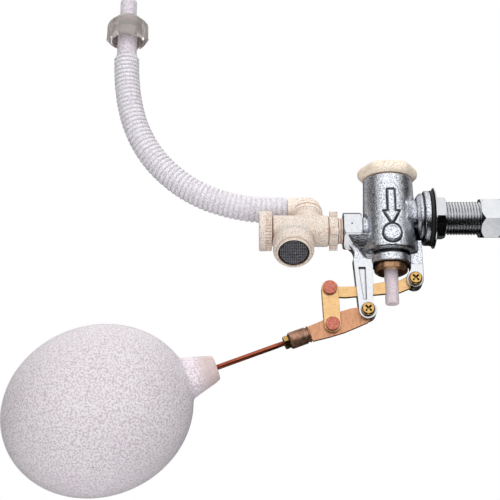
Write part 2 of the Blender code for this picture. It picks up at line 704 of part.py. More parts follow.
def make_float():
    """Hollow float with its neck; the rod's bore opens into the hollow."""
    steps = 12
    bore = ROD_R + GAP
    outer = [(NECK_R[0] - 0.6, NECK_END), (NECK_R[0], NECK_END + 0.8), (NECK_R[1] - 0.9, 113.5)]
    start = math.asin(NECK_R[1] / FLOAT_WIDE)
    for step in range(steps):
        outer.append(ellipse_point(start + (math.pi - start) * step / steps, FLOAT_LONG, FLOAT_WIDE))
    outer.append((0, FLOAT_CENTRE + FLOAT_LONG))
    inner = []
    start = math.asin(bore / (FLOAT_WIDE - FLOAT_WALL))
    for step in range(steps - 2):
        share = step / (steps - 2)
        inner.append(ellipse_point(start + (math.pi - start) * share,
                                   FLOAT_LONG - FLOAT_WALL, FLOAT_WIDE - FLOAT_WALL))
    inner.append((0, FLOAT_CENTRE + FLOAT_LONG - FLOAT_WALL))
    profile = [(bore, NECK_END)] + outer + list(reversed(inner))
    return name_piece(turned(profile, ROD, 28), "float_ball", "float_plastic", pivot(PIVOT_A))


# ---------------------------------------------------------------- hose
def smooth_route(points, count):
    """Evenly spaced points on a smooth curve through the route's own points."""
    knots = [Vector((x, HOSE_Y, z)) for x, z in points]
    ends = [knots[0] * 2 - knots[1]] + knots + [knots[-1] * 2 - knots[-2]]
    fine = []
    for index in range(1, len(ends) - 2):
        before, first, second, after = ends[index - 1:index + 3]
        for step in range(12):
            share = step / 12
            fine.append(0.5 * (2 * first + (second - before) * share
                               + (2 * before - 5 * first + 4 * second - after) * share ** 2
                               + (3 * first - before - 3 * second + after) * share ** 3))
    fine.append(knots[-1])
    travelled = [0.0]
    for first, second in zip(fine, fine[1:]):
        travelled.append(travelled[-1] + (second - first).length)
    spaced = []
    for index in range(count):
        target = travelled[-1] * index / (count - 1)
        upper = min(len(fine) - 1, max(1, sum(1 for distance in travelled if distance < target)))
        share = (target - travelled[upper - 1]) / (travelled[upper] - travelled[upper - 1])
        spaced.append(fine[upper - 1].lerp(fine[upper], share))
    return spaced


def make_hose():
    """The corrugated hose as a plain tube along its route."""
    curve = bpy.data.curves.new("hose", "CURVE")
    curve.dimensions = "3D"
    curve.bevel_depth = HOSE_R * MM
    curve.bevel_resolution = 3
    curve.use_fill_caps = True
    points = smooth_route(HOSE_ROUTE, HOSE_POINTS)
    spline = curve.splines.new("POLY")
    spline.points.add(len(points) - 1)
    for place, point in zip(spline.points, points):
        place.co = (*(point * MM), 1.0)
    curve.materials.append(finish("hose_plastic"))
    hose = bpy.data.objects.new("hose", curve)
    bpy.context.scene.collection.objects.link(hose)
    return hose


def make_hose_nozzle():
    """Sleeve and nozzle in one piece at the hose's far end."""
    foot, nut_foot, mouth = NOZZLE
    profile = [(3.9, foot), (SLEEVE_R, foot), (SLEEVE_R, nut_foot + 2), (SLEEVE_R, 147.5), (NOZZLE_R, 148.5),
               (NOZZLE_R, mouth - 0.5), (NOZZLE_R - 0.4, mouth), (3.9, mouth)]
    return name_piece(turned(profile, RISER), "hose_nozzle", "hose_plastic")


def make_hose_nut():
    """Hexagon union nut at the hose's far end, tapered above and flared below."""
    foot = NOZZLE[1]
    corner = HOSE_NUT_FLATS / math.sqrt(3)
    nut = plate(hexagon(HOSE_NUT_FLATS), foot + 0.6, foot + 21.0, RISER)
    limits = turned([(0, foot), (corner + 0.3, foot), (corner + 0.3, foot + 15.8), (7.9, foot + 20.4),
                     (7.9, foot + 21.5), (0, foot + 21.5)], RISER, 32)
    shared(nut, limits)
    cut(nut, rod(10.4, foot - 2, foot + 14.5, RISER, 24), rod(SLEEVE_R + GAP, foot, foot + 23, RISER, 24))
    return name_piece(nut, "hose_union_nut", "clear_plastic")


def make_nut_collar():
    """Gasket ring on the sleeve inside the union nut."""
    return name_piece(tube(SLEEVE_R + GAP, 9.9, NOZZLE[1] + 10.2, NOZZLE[1] + 13.9, RISER),
                      "hose_packing", "black_rubber")


# ---------------------------------------------------------------- the whole valve
def build():
    clear_scene()
    make_valve_body()
    make_top_cap()
    ring_seal("cap_o_ring", 10.05, 19.2, 0.95, UPRIGHT)
    make_valve_seat()
    make_valve_disc()
    make_piston_stem()
    ring_seal("piston_o_ring", 6.5, -23.3, 0.8, UPRIGHT)
    make_gland_bush()
    make_wall_gasket()
    make_wall_washer()
    make_lock_nut()
    make_end_nut()
    make_supply_packing()
    make_tee()
    make_port_screen()
    make_tee_union_nut()
    make_spout_washer()
    ring_seal("spigot_o_ring", 5.75, -63.6, 0.62, OUTLET)
    make_flow_knob()
    make_flow_spindle()
    make_spindle_bush()
    make_elbow()
    make_upper_lever()
    make_link_bar("link_bar_front", SLOT_HALF, LINK_OUT)
    make_link_bar("link_bar_rear", -LINK_OUT, -SLOT_HALF)
    make_rivet("rivet_upper", PIVOT_C)
    make_rivet("rivet_lower", PIVOT_D)
    make_pivot_screw("float_arm_screw", PIVOT_A)
    make_pivot_screw("upper_lever_screw", PIVOT_B)
    make_float_arm()
    make_rod_socket()
    make_rod_nut()
    make_float_rod()
    make_float()
    make_hose()
    make_hose_nozzle()
    make_hose_nut()
    make_nut_collar()


build()
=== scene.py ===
"""Looks of the float valve: detailed pieces, materials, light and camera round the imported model.

Lengths here are millimetres, and metres in the scene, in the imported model's own frame:
+Z is up, +X runs out through the tank wall, and -Y is the front.
"""
import json
import math

import bmesh
import bpy
import numpy as np
from mathutils import Matrix, Vector, noise
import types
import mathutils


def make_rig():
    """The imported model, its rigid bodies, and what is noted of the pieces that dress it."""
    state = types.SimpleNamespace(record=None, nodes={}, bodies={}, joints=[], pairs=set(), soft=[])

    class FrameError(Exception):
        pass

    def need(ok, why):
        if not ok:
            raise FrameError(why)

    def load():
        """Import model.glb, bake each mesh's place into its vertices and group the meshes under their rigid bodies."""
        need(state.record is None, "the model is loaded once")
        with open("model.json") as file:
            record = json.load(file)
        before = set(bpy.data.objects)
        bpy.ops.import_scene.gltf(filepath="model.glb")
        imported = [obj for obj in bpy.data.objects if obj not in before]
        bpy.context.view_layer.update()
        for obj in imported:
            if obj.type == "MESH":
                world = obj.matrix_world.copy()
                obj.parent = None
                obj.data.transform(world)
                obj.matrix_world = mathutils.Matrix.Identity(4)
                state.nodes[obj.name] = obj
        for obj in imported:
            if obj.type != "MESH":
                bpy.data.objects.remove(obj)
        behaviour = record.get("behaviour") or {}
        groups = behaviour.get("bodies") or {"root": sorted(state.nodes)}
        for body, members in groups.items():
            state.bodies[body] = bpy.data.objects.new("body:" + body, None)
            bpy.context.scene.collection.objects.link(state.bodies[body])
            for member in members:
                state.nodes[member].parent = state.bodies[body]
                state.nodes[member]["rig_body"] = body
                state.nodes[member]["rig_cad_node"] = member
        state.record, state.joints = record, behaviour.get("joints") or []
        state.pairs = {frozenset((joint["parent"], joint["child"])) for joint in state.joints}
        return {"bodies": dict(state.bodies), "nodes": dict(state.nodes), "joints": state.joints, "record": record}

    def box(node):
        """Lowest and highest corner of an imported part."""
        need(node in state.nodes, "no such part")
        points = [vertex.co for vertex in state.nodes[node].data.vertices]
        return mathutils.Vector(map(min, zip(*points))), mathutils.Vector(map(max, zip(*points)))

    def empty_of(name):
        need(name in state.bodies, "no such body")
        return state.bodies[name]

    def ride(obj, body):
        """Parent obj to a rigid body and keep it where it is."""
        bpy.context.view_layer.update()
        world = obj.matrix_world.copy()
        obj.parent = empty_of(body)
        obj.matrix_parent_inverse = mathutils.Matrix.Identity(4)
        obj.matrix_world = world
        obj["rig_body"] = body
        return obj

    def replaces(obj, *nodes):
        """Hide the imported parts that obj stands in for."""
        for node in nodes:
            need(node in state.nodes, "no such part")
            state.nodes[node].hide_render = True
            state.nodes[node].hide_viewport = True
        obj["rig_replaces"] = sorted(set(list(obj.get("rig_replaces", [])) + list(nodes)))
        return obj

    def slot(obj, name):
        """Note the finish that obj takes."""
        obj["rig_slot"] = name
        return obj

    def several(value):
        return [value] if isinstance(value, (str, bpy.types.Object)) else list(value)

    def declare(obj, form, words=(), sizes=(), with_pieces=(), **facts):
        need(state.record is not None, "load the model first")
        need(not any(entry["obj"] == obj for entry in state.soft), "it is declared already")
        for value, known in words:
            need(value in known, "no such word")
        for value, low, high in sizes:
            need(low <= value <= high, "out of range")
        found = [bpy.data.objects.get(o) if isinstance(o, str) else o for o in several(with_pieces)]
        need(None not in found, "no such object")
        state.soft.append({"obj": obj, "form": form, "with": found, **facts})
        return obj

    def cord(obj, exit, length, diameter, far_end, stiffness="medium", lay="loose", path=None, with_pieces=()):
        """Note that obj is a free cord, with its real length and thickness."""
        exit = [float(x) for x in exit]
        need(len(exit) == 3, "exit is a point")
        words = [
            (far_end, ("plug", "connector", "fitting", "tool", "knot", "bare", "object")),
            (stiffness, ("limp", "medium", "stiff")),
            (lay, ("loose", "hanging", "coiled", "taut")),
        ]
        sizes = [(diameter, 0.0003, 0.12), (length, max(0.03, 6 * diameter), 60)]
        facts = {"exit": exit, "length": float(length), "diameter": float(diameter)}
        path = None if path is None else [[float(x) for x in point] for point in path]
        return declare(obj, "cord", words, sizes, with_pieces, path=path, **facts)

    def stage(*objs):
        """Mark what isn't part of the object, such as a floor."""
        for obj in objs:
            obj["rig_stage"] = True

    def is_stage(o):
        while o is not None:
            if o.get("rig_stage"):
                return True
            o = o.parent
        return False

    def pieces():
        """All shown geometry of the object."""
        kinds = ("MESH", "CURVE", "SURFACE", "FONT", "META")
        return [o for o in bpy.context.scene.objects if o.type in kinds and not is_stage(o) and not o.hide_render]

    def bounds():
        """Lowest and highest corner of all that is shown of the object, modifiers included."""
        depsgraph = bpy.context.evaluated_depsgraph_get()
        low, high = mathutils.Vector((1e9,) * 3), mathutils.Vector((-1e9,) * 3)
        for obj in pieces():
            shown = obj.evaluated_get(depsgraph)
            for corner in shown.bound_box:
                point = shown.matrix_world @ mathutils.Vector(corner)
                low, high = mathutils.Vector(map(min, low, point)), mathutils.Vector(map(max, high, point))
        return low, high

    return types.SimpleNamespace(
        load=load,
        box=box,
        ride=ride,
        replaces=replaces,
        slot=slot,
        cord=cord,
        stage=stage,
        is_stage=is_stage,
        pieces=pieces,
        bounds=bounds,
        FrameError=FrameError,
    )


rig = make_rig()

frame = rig.load()
CAD_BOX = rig.bounds()
MM = 0.001
AXIS_X = Vector((1, 0, 0))
AXIS_Y = Vector((0, 1, 0))
AXIS_Z = Vector((0, 0, 1))


# ---- places from the frame
def low_of(node):
    return Vector(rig.box(node)[0]) / MM


def high_of(node):
    return Vector(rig.box(node)[1]) / MM


def middle_of(node):
    return (low_of(node) + high_of(node)) / 2


def span(node, axis):
    """Both ends of a node along one axis."""
    return low_of(node)[axis], high_of(node)[axis]


def joint_place(name):
    for joint in frame["record"]["behaviour"]["joints"]:
        if joint["name"] == name:
            return Vector(joint["pos_m"]) / MM
    raise ValueError(name)


GAP = 0.3                                   # clearance between neighbouring pieces
BARREL_X = middle_of("piston_stem").x
BARREL_TOP = high_of("valve_body").z
SHANK_END = high_of("valve_body").x
SPOUT_END = low_of("valve_body").x
SPOUT_Z = middle_of("flow_knob").z
PIVOT_A = joint_place("float_arm_swing")    # float arm on the long fork
PIVOT_B = joint_place("upper_lever_swing")  # upper lever on the short lug
PIVOT_C = middle_of("rivet_upper")
PIVOT_D = joint_place("link_turn")          # lower rivet, on the float arm
TEE_LEFT = middle_of("flow_knob").x + 4.3   # the tee's end under the knob
TEE_END = high_of("tee_body").x             # the tee's threaded end
KNOB_LEFT = low_of("flow_knob").x
KNOB_RIGHT = high_of("flow_knob").x
HOSE_Y = middle_of("hose_nozzle").y
HOSE_TOP_X = middle_of("hose_nozzle").x
SLEEVE_FOOT = low_of("hose_nozzle").z
NOZZLE_MOUTH = high_of("hose_nozzle").z
HOSE_NUT_FOOT = low_of("hose_union_nut").z
STEM_LOW = low_of("piston_stem").z
BUSH_LOW = low_of("gland_bush").z
GASKET_FACE = low_of("wall_gasket").x

# ---- driving dimensions
BARREL_TOP_R = 15.5
BARREL_LOW = -23.0
BARREL_LOW_R = 17.0
COLLAR_R = 12.7
COLLAR_LOW = -31.4
CHAMBER_R = 11.3
CAST_GRAIN = 0.35                # size of the casting's mesh
SHANK_R = 10.48
SHANK_ROOT_R = 9.32
PITCH = 1.814
BORE_R = 5.8
FLANGE_R = 17.2
GASKET_R = 17.4
WASHER_R = 19.0
LOCK_NUT_FLATS = 24.5
LOCK_NUT_TURN = 43.0             # degrees from the frame's own corner
END_NUT_FLATS = 24.0
END_NUT_TURN = 50.0
SPOUT_HEX = 22.3
SPOUT_TURN = 5.5                 # degrees that the spout's flats lean back
SPOUT_BORE_R = 4.2
SPIGOT_R = 5.8
TEE_R = 9.85
TEE_BORE_R = 6.5
PORT_X = -87.0
PORT_TILT = 55.0
PORT_REACH = 24.0
PORT_BORE_R = 9.6
ELBOW_X = -77.6
ELBOW_TILT = 60.0
ELBOW_REACH = 21.3
KNOB_R = 12.5
KNOB_RIBS = 40
PORT_RIBS = 44
SCREEN_R = 8.6
WIRE_R = 0.16
PLATE_HALF = 1.3
SLOT_HALF = PLATE_HALF + 0.35
CHEEK_OUT = 4.65
LINK_OUT = SLOT_HALF + 1.8
LEVER_EYE_R = 5.0
LEVER_TIP_R = 4.9
LEVER_HOLE_R = 2.7               # wide, because the linkage's loop is opened there
LINK_EYE_R = 5.1
FORK_EYE_R = 5.5
FORK_RECESS = 2.1                # depth of the recess in the fork's front
LUG_EYE_R = 5.2
RIVET_SHANK_R = 1.9
RIVET_HEAD_R = 4.3
SCREW_SHANK_R = 2.0
SCREW_HEAD_R = 4.05
SCREW_HEAD = 3.0                 # height of the head
CROSS_HALF = 0.62                # half the width of its cross
STEM_R = 4.35
ARM_SLOPE = 20.4
ROD_DROP = -0.9
ROD_R = 1.6
SOCKET = (38.2, 51.4)
SOCKET_R = 5.15
ROD_NUT_FLATS = 7.3
ROD_PITCH = 0.7
FLOAT_CENTRE = 172.7
FLOAT_LONG = 57.4
FLOAT_WIDE = 50.3
FLOAT_WALL = 1.6
NECK_END = 98.0
NECK_R = 7.8
HOSE_R = 8.3
RIB_PITCH = (3.3, 2.9)           # corrugation pitch at the elbow and at the far end
NOZZLE_R = 5.5
NOZZLE_BORE_R = 3.9
SLEEVE_R = 6.5
SLEEVE_TOP = 147.2
HOSE_NUT_FLATS = 24.6
HOSE_NUT_HEIGHT = 17.5
HOSE_PACKING_R = 8.3

# Route of the hose's axis in the plane where it lies (X, Z).
HOSE_ROUTE = [(-90.3, 9.95), (-98, 9.95), (-106, 10.0), (-114, 10.7), (-122, 12.2),
              (-131.6, 14.8), (-141.7, 18.6), (-151.8, 24.0), (-161.8, 31.3),
              (-170.8, 39.9), (-178.3, 49.6), (-184.3, 60.1), (-188.9, 71.4), (-192.1, 83.4),
              (-194.1, 95.5), (-195.2, 107.5), (-195.6, 118.8)]

CAMERA_PLACE = (-113.6, -727.4, -285.7)
CAMERA_TILT = 20.0               # degrees above horizontal
FLOOR_Z = -1100.0
FLOOR_R = 4000.0


# ---- local axes
def axes(origin, x_axis, y_axis):
    """Local axes at an origin: local Z is x_axis cross y_axis."""
    x_axis = Vector(x_axis).normalized()
    y_axis = Vector(y_axis).normalized()
    matrix = Matrix((x_axis, y_axis, x_axis.cross(y_axis))).transposed().to_4x4()
    matrix.translation = Vector(origin)
    return matrix


def along(origin, axis, up=(0, 1, 0)):
    """Local axes for turned pieces: local Z lies along the axis."""
    axis = Vector(axis).normalized()
    side = Vector(up).cross(axis).normalized()
    return axes(origin, side, axis.cross(side))


def tilted(x, degrees, to_back):
    """Axis leaving the tee at x, to the back and up or to the front and down."""
    angle = math.radians(degrees)
    way = 1 if to_back else -1
    axis = Vector((0, way * math.cos(angle), way * math.sin(angle)))
    return along((x, 0, SPOUT_Z), axis, up=(1, 0, 0))


def pin_axis(place):
    """Local Z along +Y through a pivot."""
    return along((place.x, 0, place.z), AXIS_Y, up=(0, 0, 1))


UPRIGHT = along((BARREL_X, 0, 0), AXIS_Z)
INLET = along((0, 0, 0), AXIS_X)
OUTLET = along((0, 0, SPOUT_Z), AXIS_X)
SIDE = axes((0, 0, 0), AXIS_X, AXIS_Z)
SLOPE = math.radians(ARM_SLOPE)
ARM_OUT = Vector((-math.cos(SLOPE), 0, -math.sin(SLOPE)))
ARM_UP = Vector((-math.sin(SLOPE), 0, math.cos(SLOPE)))
ARM = axes((PIVOT_A.x, 0, PIVOT_A.z), ARM_OUT, ARM_UP)
ROD = along(ARM @ Vector((0, ROD_DROP, 0)), ARM_OUT)
PORT = tilted(PORT_X, PORT_TILT, False)
ELBOW = tilted(ELBOW_X, ELBOW_TILT, True)
NECK_MIDDLE = ROD @ Vector((0, 0, NECK_END + 5))
MOULD_PIP = ROD @ Vector((0, 0, FLOAT_CENTRE)) + Vector((2.4, -31.0, -39.0))
HOSE_CENTRE = ELBOW @ Vector((0, 0, ELBOW_REACH))
HOSE_LINE = along((0, HOSE_Y, HOSE_CENTRE.z), AXIS_X)
RISER = along((HOSE_TOP_X, HOSE_Y, 0), AXIS_Z)


# ---- outlines
def arc(centre, radius, start, end, steps):
    """Points on a circle from one angle to another, in degrees."""
    points = []
    for step in range(steps + 1):
        angle = math.radians(start + (end - start) * step / steps)
        points.append((centre[0] + radius * math.cos(angle), centre[1] + radius * math.sin(angle)))
    return points


def rounded(points, radius, steps=4):
    """A closed outline with its corners rounded; a third value in a point is its own radius."""
    out = []
    count = len(points)
    for index, point in enumerate(points):
        corner = Vector(point[:2])
        size = point[2] if len(point) > 2 else radius
        before = Vector(points[index - 1][:2]) - corner
        after = Vector(points[(index + 1) % count][:2]) - corner
        reach = min(size, 0.48 * before.length, 0.48 * after.length)
        if corner.x == 0 or reach < 0.01:
            out.append((corner.x, corner.y))
            continue
        first = corner + before.normalized() * reach
        last = corner + after.normalized() * reach
        for step in range(steps + 1):
            share = step / steps
            spot = first * (1 - share) ** 2 + corner * 2 * share * (1 - share) + last * share ** 2
            out.append((spot.x, spot.y))
    return out


def hexagon(flats, turn=0.0):
    return arc((0, 0), flats / math.sqrt(3), turn, turn + 300, 5)


# ---- mesh makers
def to_object(mesh_data, matrix, name="piece"):
    """Turn a bmesh drawn in millimetres into a scene object in metres."""
    bmesh.ops.transform(mesh_data, matrix=matrix, verts=mesh_data.verts)
    bmesh.ops.scale(mesh_data, vec=(MM, MM, MM), verts=mesh_data.verts)
    bmesh.ops.recalc_face_normals(mesh_data, faces=mesh_data.faces)
    mesh = bpy.data.meshes.new(name)
    mesh_data.to_mesh(mesh)
    mesh_data.free()
    piece = bpy.data.objects.new(name, mesh)
    bpy.context.scene.collection.objects.link(piece)
    return piece


def join_rings(mesh_data, first, second):
    """Faces between two rings; an empty ring makes a flat cap, a single point makes a tip."""
    steps = max(len(first), len(second))
    if steps <= 1:
        return
    if not first or not second:
        mesh_data.faces.new(first or second)
        return
    for step in range(steps):
        after = (step + 1) % steps
        corners = [first[step % len(first)], first[after % len(first)],
                   second[after % len(second)], second[step % len(second)]]
        unique = []
        for corner in corners:
            if corner not in unique:
                unique.append(corner)
        mesh_data.faces.new(unique)


def add_skin(mesh_data, sections, closed_round=False):
    """Skin through rings with equally many points; its ends are capped unless it closes round."""
    rings = [[mesh_data.verts.new(point) for point in section] for section in sections]
    if not closed_round:
        mesh_data.faces.new(rings[0])
        mesh_data.faces.new(rings[-1])
    following = rings[1:] + rings[:1] if closed_round else rings[1:]
    for first, second in zip(rings, following):
        join_rings(mesh_data, first, second)


def turned(profile, matrix, steps=72, radius_at=None, twist=0.0):
    """Solid of revolution about local Z from a closed outline of (radius, height) points.

    radius_at(radius, height, share) may change a radius round the turn, for ribs and threads.
    """
    mesh_data = bmesh.new()
    rings = []
    for index, (radius, height) in enumerate(profile):
        if radius == 0:
            flat = height in (profile[index - 1][1], profile[(index + 1) % len(profile)][1])
            rings.append([] if flat else [mesh_data.verts.new((0, 0, height))])
            continue
        ring = []
        for step in range(steps):
            share = (step + twist) / steps
            angle = 2 * math.pi * share
            size = radius_at(radius, height, share) if radius_at else radius
            ring.append(mesh_data.verts.new((size * math.cos(angle), size * math.sin(angle), height)))
        rings.append(ring)
    for first, second in zip(rings, rings[1:] + rings[:1]):
        join_rings(mesh_data, first, second)
    return to_object(mesh_data, matrix)


def rod(radius, low, high, matrix, steps=40):
    """Plain cylinder used for cutting and joining, twisted so that edges never line up."""
    return turned([(0, low), (radius, low), (radius, high), (0, high)], matrix, steps, twist=0.31)


def pin_hole(place, radius):
    """Cutter for the hole round a pin, with its clearance."""
    return rod(radius + GAP, -9, 9, pin_axis(place))


def plate(outline, low, high, matrix):
    """Flat piece from a 2D outline, between two heights along local Z."""
    return stacked([(outline, low), (outline, high)], matrix)


def block(low, high, matrix=Matrix.Identity(4)):
    outline = [(low[0], low[1]), (high[0], low[1]), (high[0], high[1]), (low[0], high[1])]
    return plate(outline, low[2], high[2], matrix)


def circle(centre, side, up, radius, steps):
    """Points round a centre in the plane of two directions."""
    points = []
    for step in range(steps):
        angle = 2 * math.pi * step / steps
        points.append(centre + side * (radius * math.cos(angle)) + up * (radius * math.sin(angle)))
    return points


def stacked(levels, matrix):
    """Solid through a list of (outline, height) levels whose outlines have equally many points."""
    mesh_data = bmesh.new()
    add_skin(mesh_data, [[(x, y, height) for x, y in outline] for outline, height in levels])
    return to_object(mesh_data, matrix)


def evaluated(piece):
    """Apply a piece's modifiers to its mesh."""
    graph = bpy.context.evaluated_depsgraph_get()
    mesh = bpy.data.meshes.new_from_object(piece.evaluated_get(graph))
    piece.modifiers.clear()
    piece.data = mesh
    return piece


def combine(base, tools, operation):
    """Join or cut solids with exact booleans; the tools are used up."""
    for tool in tools:
        modifier = base.modifiers.new("combine", "BOOLEAN")
        modifier.operation = operation
        modifier.solver = "EXACT"
        modifier.object = tool
        evaluated(base)
        bpy.data.objects.remove(tool, do_unlink=True)
    return base


def joined(base, *tools):
    return combine(base, tools, "UNION")


def cut(base, *tools):
    return combine(base, tools, "DIFFERENCE")


def shared(base, *tools):
    return combine(base, tools, "INTERSECT")


def merged(base, *others):
    """Put several separate solids into one object, without cutting them."""
    mesh_data = bmesh.new()
    for piece in (base, *others):
        mesh_data.from_mesh(piece.data)
    mesh_data.to_mesh(base.data)
    mesh_data.free()
    for piece in others:
        bpy.data.objects.remove(piece, do_unlink=True)
    return base


def soften(piece, width=0.3, segments=3, angle=28):
    """Rounded edges, as pressing, moulding or turning leaves them."""
    weld = piece.modifiers.new("weld", "WELD")
    weld.merge_threshold = 0.003 * MM
    bevel = piece.modifiers.new("edges", "BEVEL")
    bevel.width = width * MM
    bevel.segments = segments
    bevel.limit_method = "ANGLE"
    bevel.angle_limit = math.radians(angle)
    bevel.use_clamp_overlap = True
    bevel.harden_normals = True
    piece.data.shade_smooth()
    return evaluated(piece)


def melted(piece, grain, rounds):
    """One even skin over joined solids, with the small fillets that a mould leaves."""
    remesh = piece.modifiers.new("skin", "REMESH")
    remesh.mode = "VOXEL"
    remesh.voxel_size = grain * MM
    remesh.use_smooth_shade = True
    smooth = piece.modifiers.new("fillets", "SMOOTH")
    smooth.factor = 0.5
    smooth.iterations = rounds
    return evaluated(piece)


def moved_points(piece, shift):
    """Move every vertex by shift(point, normal), in millimetres."""
    mesh = piece.data
    normals = [vertex.normal.copy() for vertex in mesh.vertices]
    for vertex, normal in zip(mesh.vertices, normals):
        point = vertex.co / MM
        vertex.co = (point + shift(point, normal)) * MM
    mesh.update()
    return piece


def crisp(piece, angle=35):
    """Smooth shading that keeps real edges sharp."""
    piece.data.shade_smooth()
    piece.data.set_sharp_from_angle(angle=math.radians(angle))
    return piece


def lathed(outline, rounding, matrix, steps=72):
    """Turned piece with rounded corners and smooth shading."""
    return crisp(turned(rounded(outline, rounding), matrix, steps))


def set_piece(piece, name, finish, slot, *nodes, body="valve"):
    """Name a finished piece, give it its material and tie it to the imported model."""
    piece.name = name
    piece.data.name = name
    piece.data.materials.clear()
    piece.data.materials.append(FINISH[finish])
    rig.ride(piece, body)
    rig.slot(piece, slot)
    if nodes:
        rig.replaces(piece, *nodes)
    return piece


# ---- material maker
def srgb(red, green, blue):
    """A screen colour, from 0 to 255, as the scene's linear colour."""
    linear = []
    for value in (red, green, blue):
        value /= 255
        linear.append(value / 12.92 if value <= 0.04045 else ((value + 0.055) / 1.055) ** 2.4)
    return (*linear, 1.0)


def feed(tree, socket, value):
    """Link an output into a socket, or set the socket to a plain value."""
    if isinstance(value, bpy.types.NodeSocket):
        tree.links.new(value, socket)
    else:
        socket.default_value = value


def add_node(tree, kind, inputs, **settings):
    """New shader node with its settings, and its inputs fed with outputs or plain values."""
    node = tree.nodes.new("ShaderNode" + kind)
    for name, value in settings.items():
        setattr(node, name, value)
    for socket, value in inputs.items():
        feed(tree, node.inputs[socket], value)
    return node


class Surface:
    """A procedural material built step by step on one Principled shader; colours run to 255."""

    def __init__(self, name, colour, roughness, metallic=0.0, **sockets):
        self.material = bpy.data.materials.new(name)
        self.material.use_nodes = True
        self.tree = self.material.node_tree
        self.colour = srgb(*colour)
        self.normal = None
        self.put("Base Color", self.colour)
        self.put("Roughness", roughness)
        self.put("Metallic", metallic)
        for socket, value in sockets.items():
            self.put(socket.replace("_", " "), value)
        self.place = self.add("TexCoord", {}, "Object")

    def put(self, socket, value):
        feed(self.tree, self.tree.nodes["Principled BSDF"].inputs[socket], value)

    def add(self, kind, inputs, output, **settings):
        """One output of a new node."""
        return add_node(self.tree, kind, inputs, **settings).outputs[output]

    def grain(self, size, detail=2.0, stretch=(1, 1, 1), turn=(0, 0, 0)):
        """Noise from 0 to 1 whose blotches are about size millimetres across."""
        angles = [math.radians(angle) for angle in turn]
        scales = [factor / (size * MM) for factor in stretch]
        vector = self.add("Mapping", {"Vector": self.place, "Rotation": angles, "Scale": scales}, "Vector")
        return self.add("TexNoise", {"Vector": vector, "Scale": 1.0, "Detail": detail}, "Fac")

    def crevice(self, reach):
        """Near 0 in grooves and corners, 1 on open faces."""
        return self.add("AmbientOcclusion", {"Distance": reach * MM}, "AO", samples=8)

    def edges(self):
        """Above one half on outer edges, below it in hollows."""
        return self.add("NewGeometry", {}, "Pointiness")

    def between(self, value, low, high, start, end):
        """Map a value from low..high to start..end, clamped."""
        limits = {"From Min": low, "From Max": high, "To Min": start, "To Max": end}
        return self.add("MapRange", {"Value": value, **limits}, "Result")

    def tint(self, share, colour):
        """Blend the base colour towards another one by a share."""
        inputs = {"Factor": share, 6: self.colour, 7: srgb(*colour)}
        self.colour = self.add("Mix", inputs, 2, data_type="RGBA")
        self.put("Base Color", self.colour)

    def stain(self, pattern, low, high, share, colour):
        """Tint that grows from nothing where the pattern is low to the share where it is high."""
        self.tint(self.between(pattern, low, high, 0.0, share), colour)

    def fading(self, pattern, low, high, share, colour):
        """Tint that falls from the share where the pattern is low to nothing where it is high."""
        self.tint(self.between(pattern, low, high, share, 0.0), colour)

    def painted_crevice_shade(self, reach, low, high, share, colour):
        """Painted shade: a tint down in grooves and corners, where the ambient occlusion is low."""
        self.fading(self.crevice(reach), low, high, share, colour)

    def spot(self, point, full, none, share, colour):
        """Tint within full millimetres of a point, fading to nothing at none."""
        inputs = {0: self.place, 1: Vector(point) * MM}
        distance = self.add("VectorMath", inputs, "Value", operation="DISTANCE")
        self.fading(distance, full * MM, none * MM, share, colour)

    def uneven(self, pattern, smooth, rough, low=0.3, high=0.7):
        """Roughness that follows a pattern."""
        self.put("Roughness", self.between(pattern, low, high, smooth, rough))

    def relief(self, height, depth, strength=1.0):
        """Bump of a given depth in millimetres, added to what is there already."""
        inputs = {"Height": height, "Distance": depth * MM, "Strength": strength}
        if self.normal is not None:
            inputs["Normal"] = self.normal
        self.normal = self.add("Bump", inputs, "Normal")
        self.put("Normal", self.normal)


# ---- materials
def cast_chrome():
    """Chrome plate over a sand casting: grainy, with painted shade darkening its hollows."""
    skin = Surface("cast_chrome", (240, 242, 248), 0.2, 1.0)
    coarse = skin.grain(0.75, 2.5)
    fine = skin.grain(0.35)
    skin.stain(coarse, 0.48, 0.64, 0.85, (134, 139, 154))
    # Painted shade: near black in grooves and corners, and again in the hollows that pointiness finds.
    skin.painted_crevice_shade(1.8, 0.45, 0.92, 0.96, (14, 14, 18))
    skin.fading(skin.edges(), 0.43, 0.48, 0.9, (18, 18, 24))
    skin.uneven(fine, 0.12, 0.26)
    skin.relief(coarse, 0.15, 0.85)
    skin.relief(fine, 0.12, 1.0)
    return skin.material


def bright_chrome():
    """Polished chrome with faint wipe marks."""
    skin = Surface("bright_chrome", (228, 230, 233), 0.08, 1.0)
    marks = skin.grain(0.5, 3.0, (1, 0.08, 1))
    skin.stain(skin.grain(6.0), 0.35, 0.75, 0.35, (205, 208, 214))
    # Painted shade: dark in grooves and corners.
    skin.painted_crevice_shade(0.8, 0.2, 0.7, 0.8, (20, 20, 24))
    skin.uneven(marks, 0.06, 0.17, 0.3, 0.75)
    skin.relief(skin.grain(3.0, 1.5), 0.06, 0.25)
    return skin.material


def thread_chrome():
    """Bright chrome of the threaded shank, with painted shade dark down in the thread."""
    skin = Surface("thread_chrome", (240, 241, 244), 0.2, 1.0)
    # Painted shade: near black down in the thread.
    skin.painted_crevice_shade(0.9, 0.35, 0.75, 0.95, (10, 10, 12))
    skin.stain(skin.grain(2.0), 0.4, 0.75, 0.35, (196, 199, 206))
    skin.uneven(skin.grain(0.6), 0.16, 0.28)
    skin.relief(skin.grain(1.4, 1.5), 0.04, 0.3)
    return skin.material


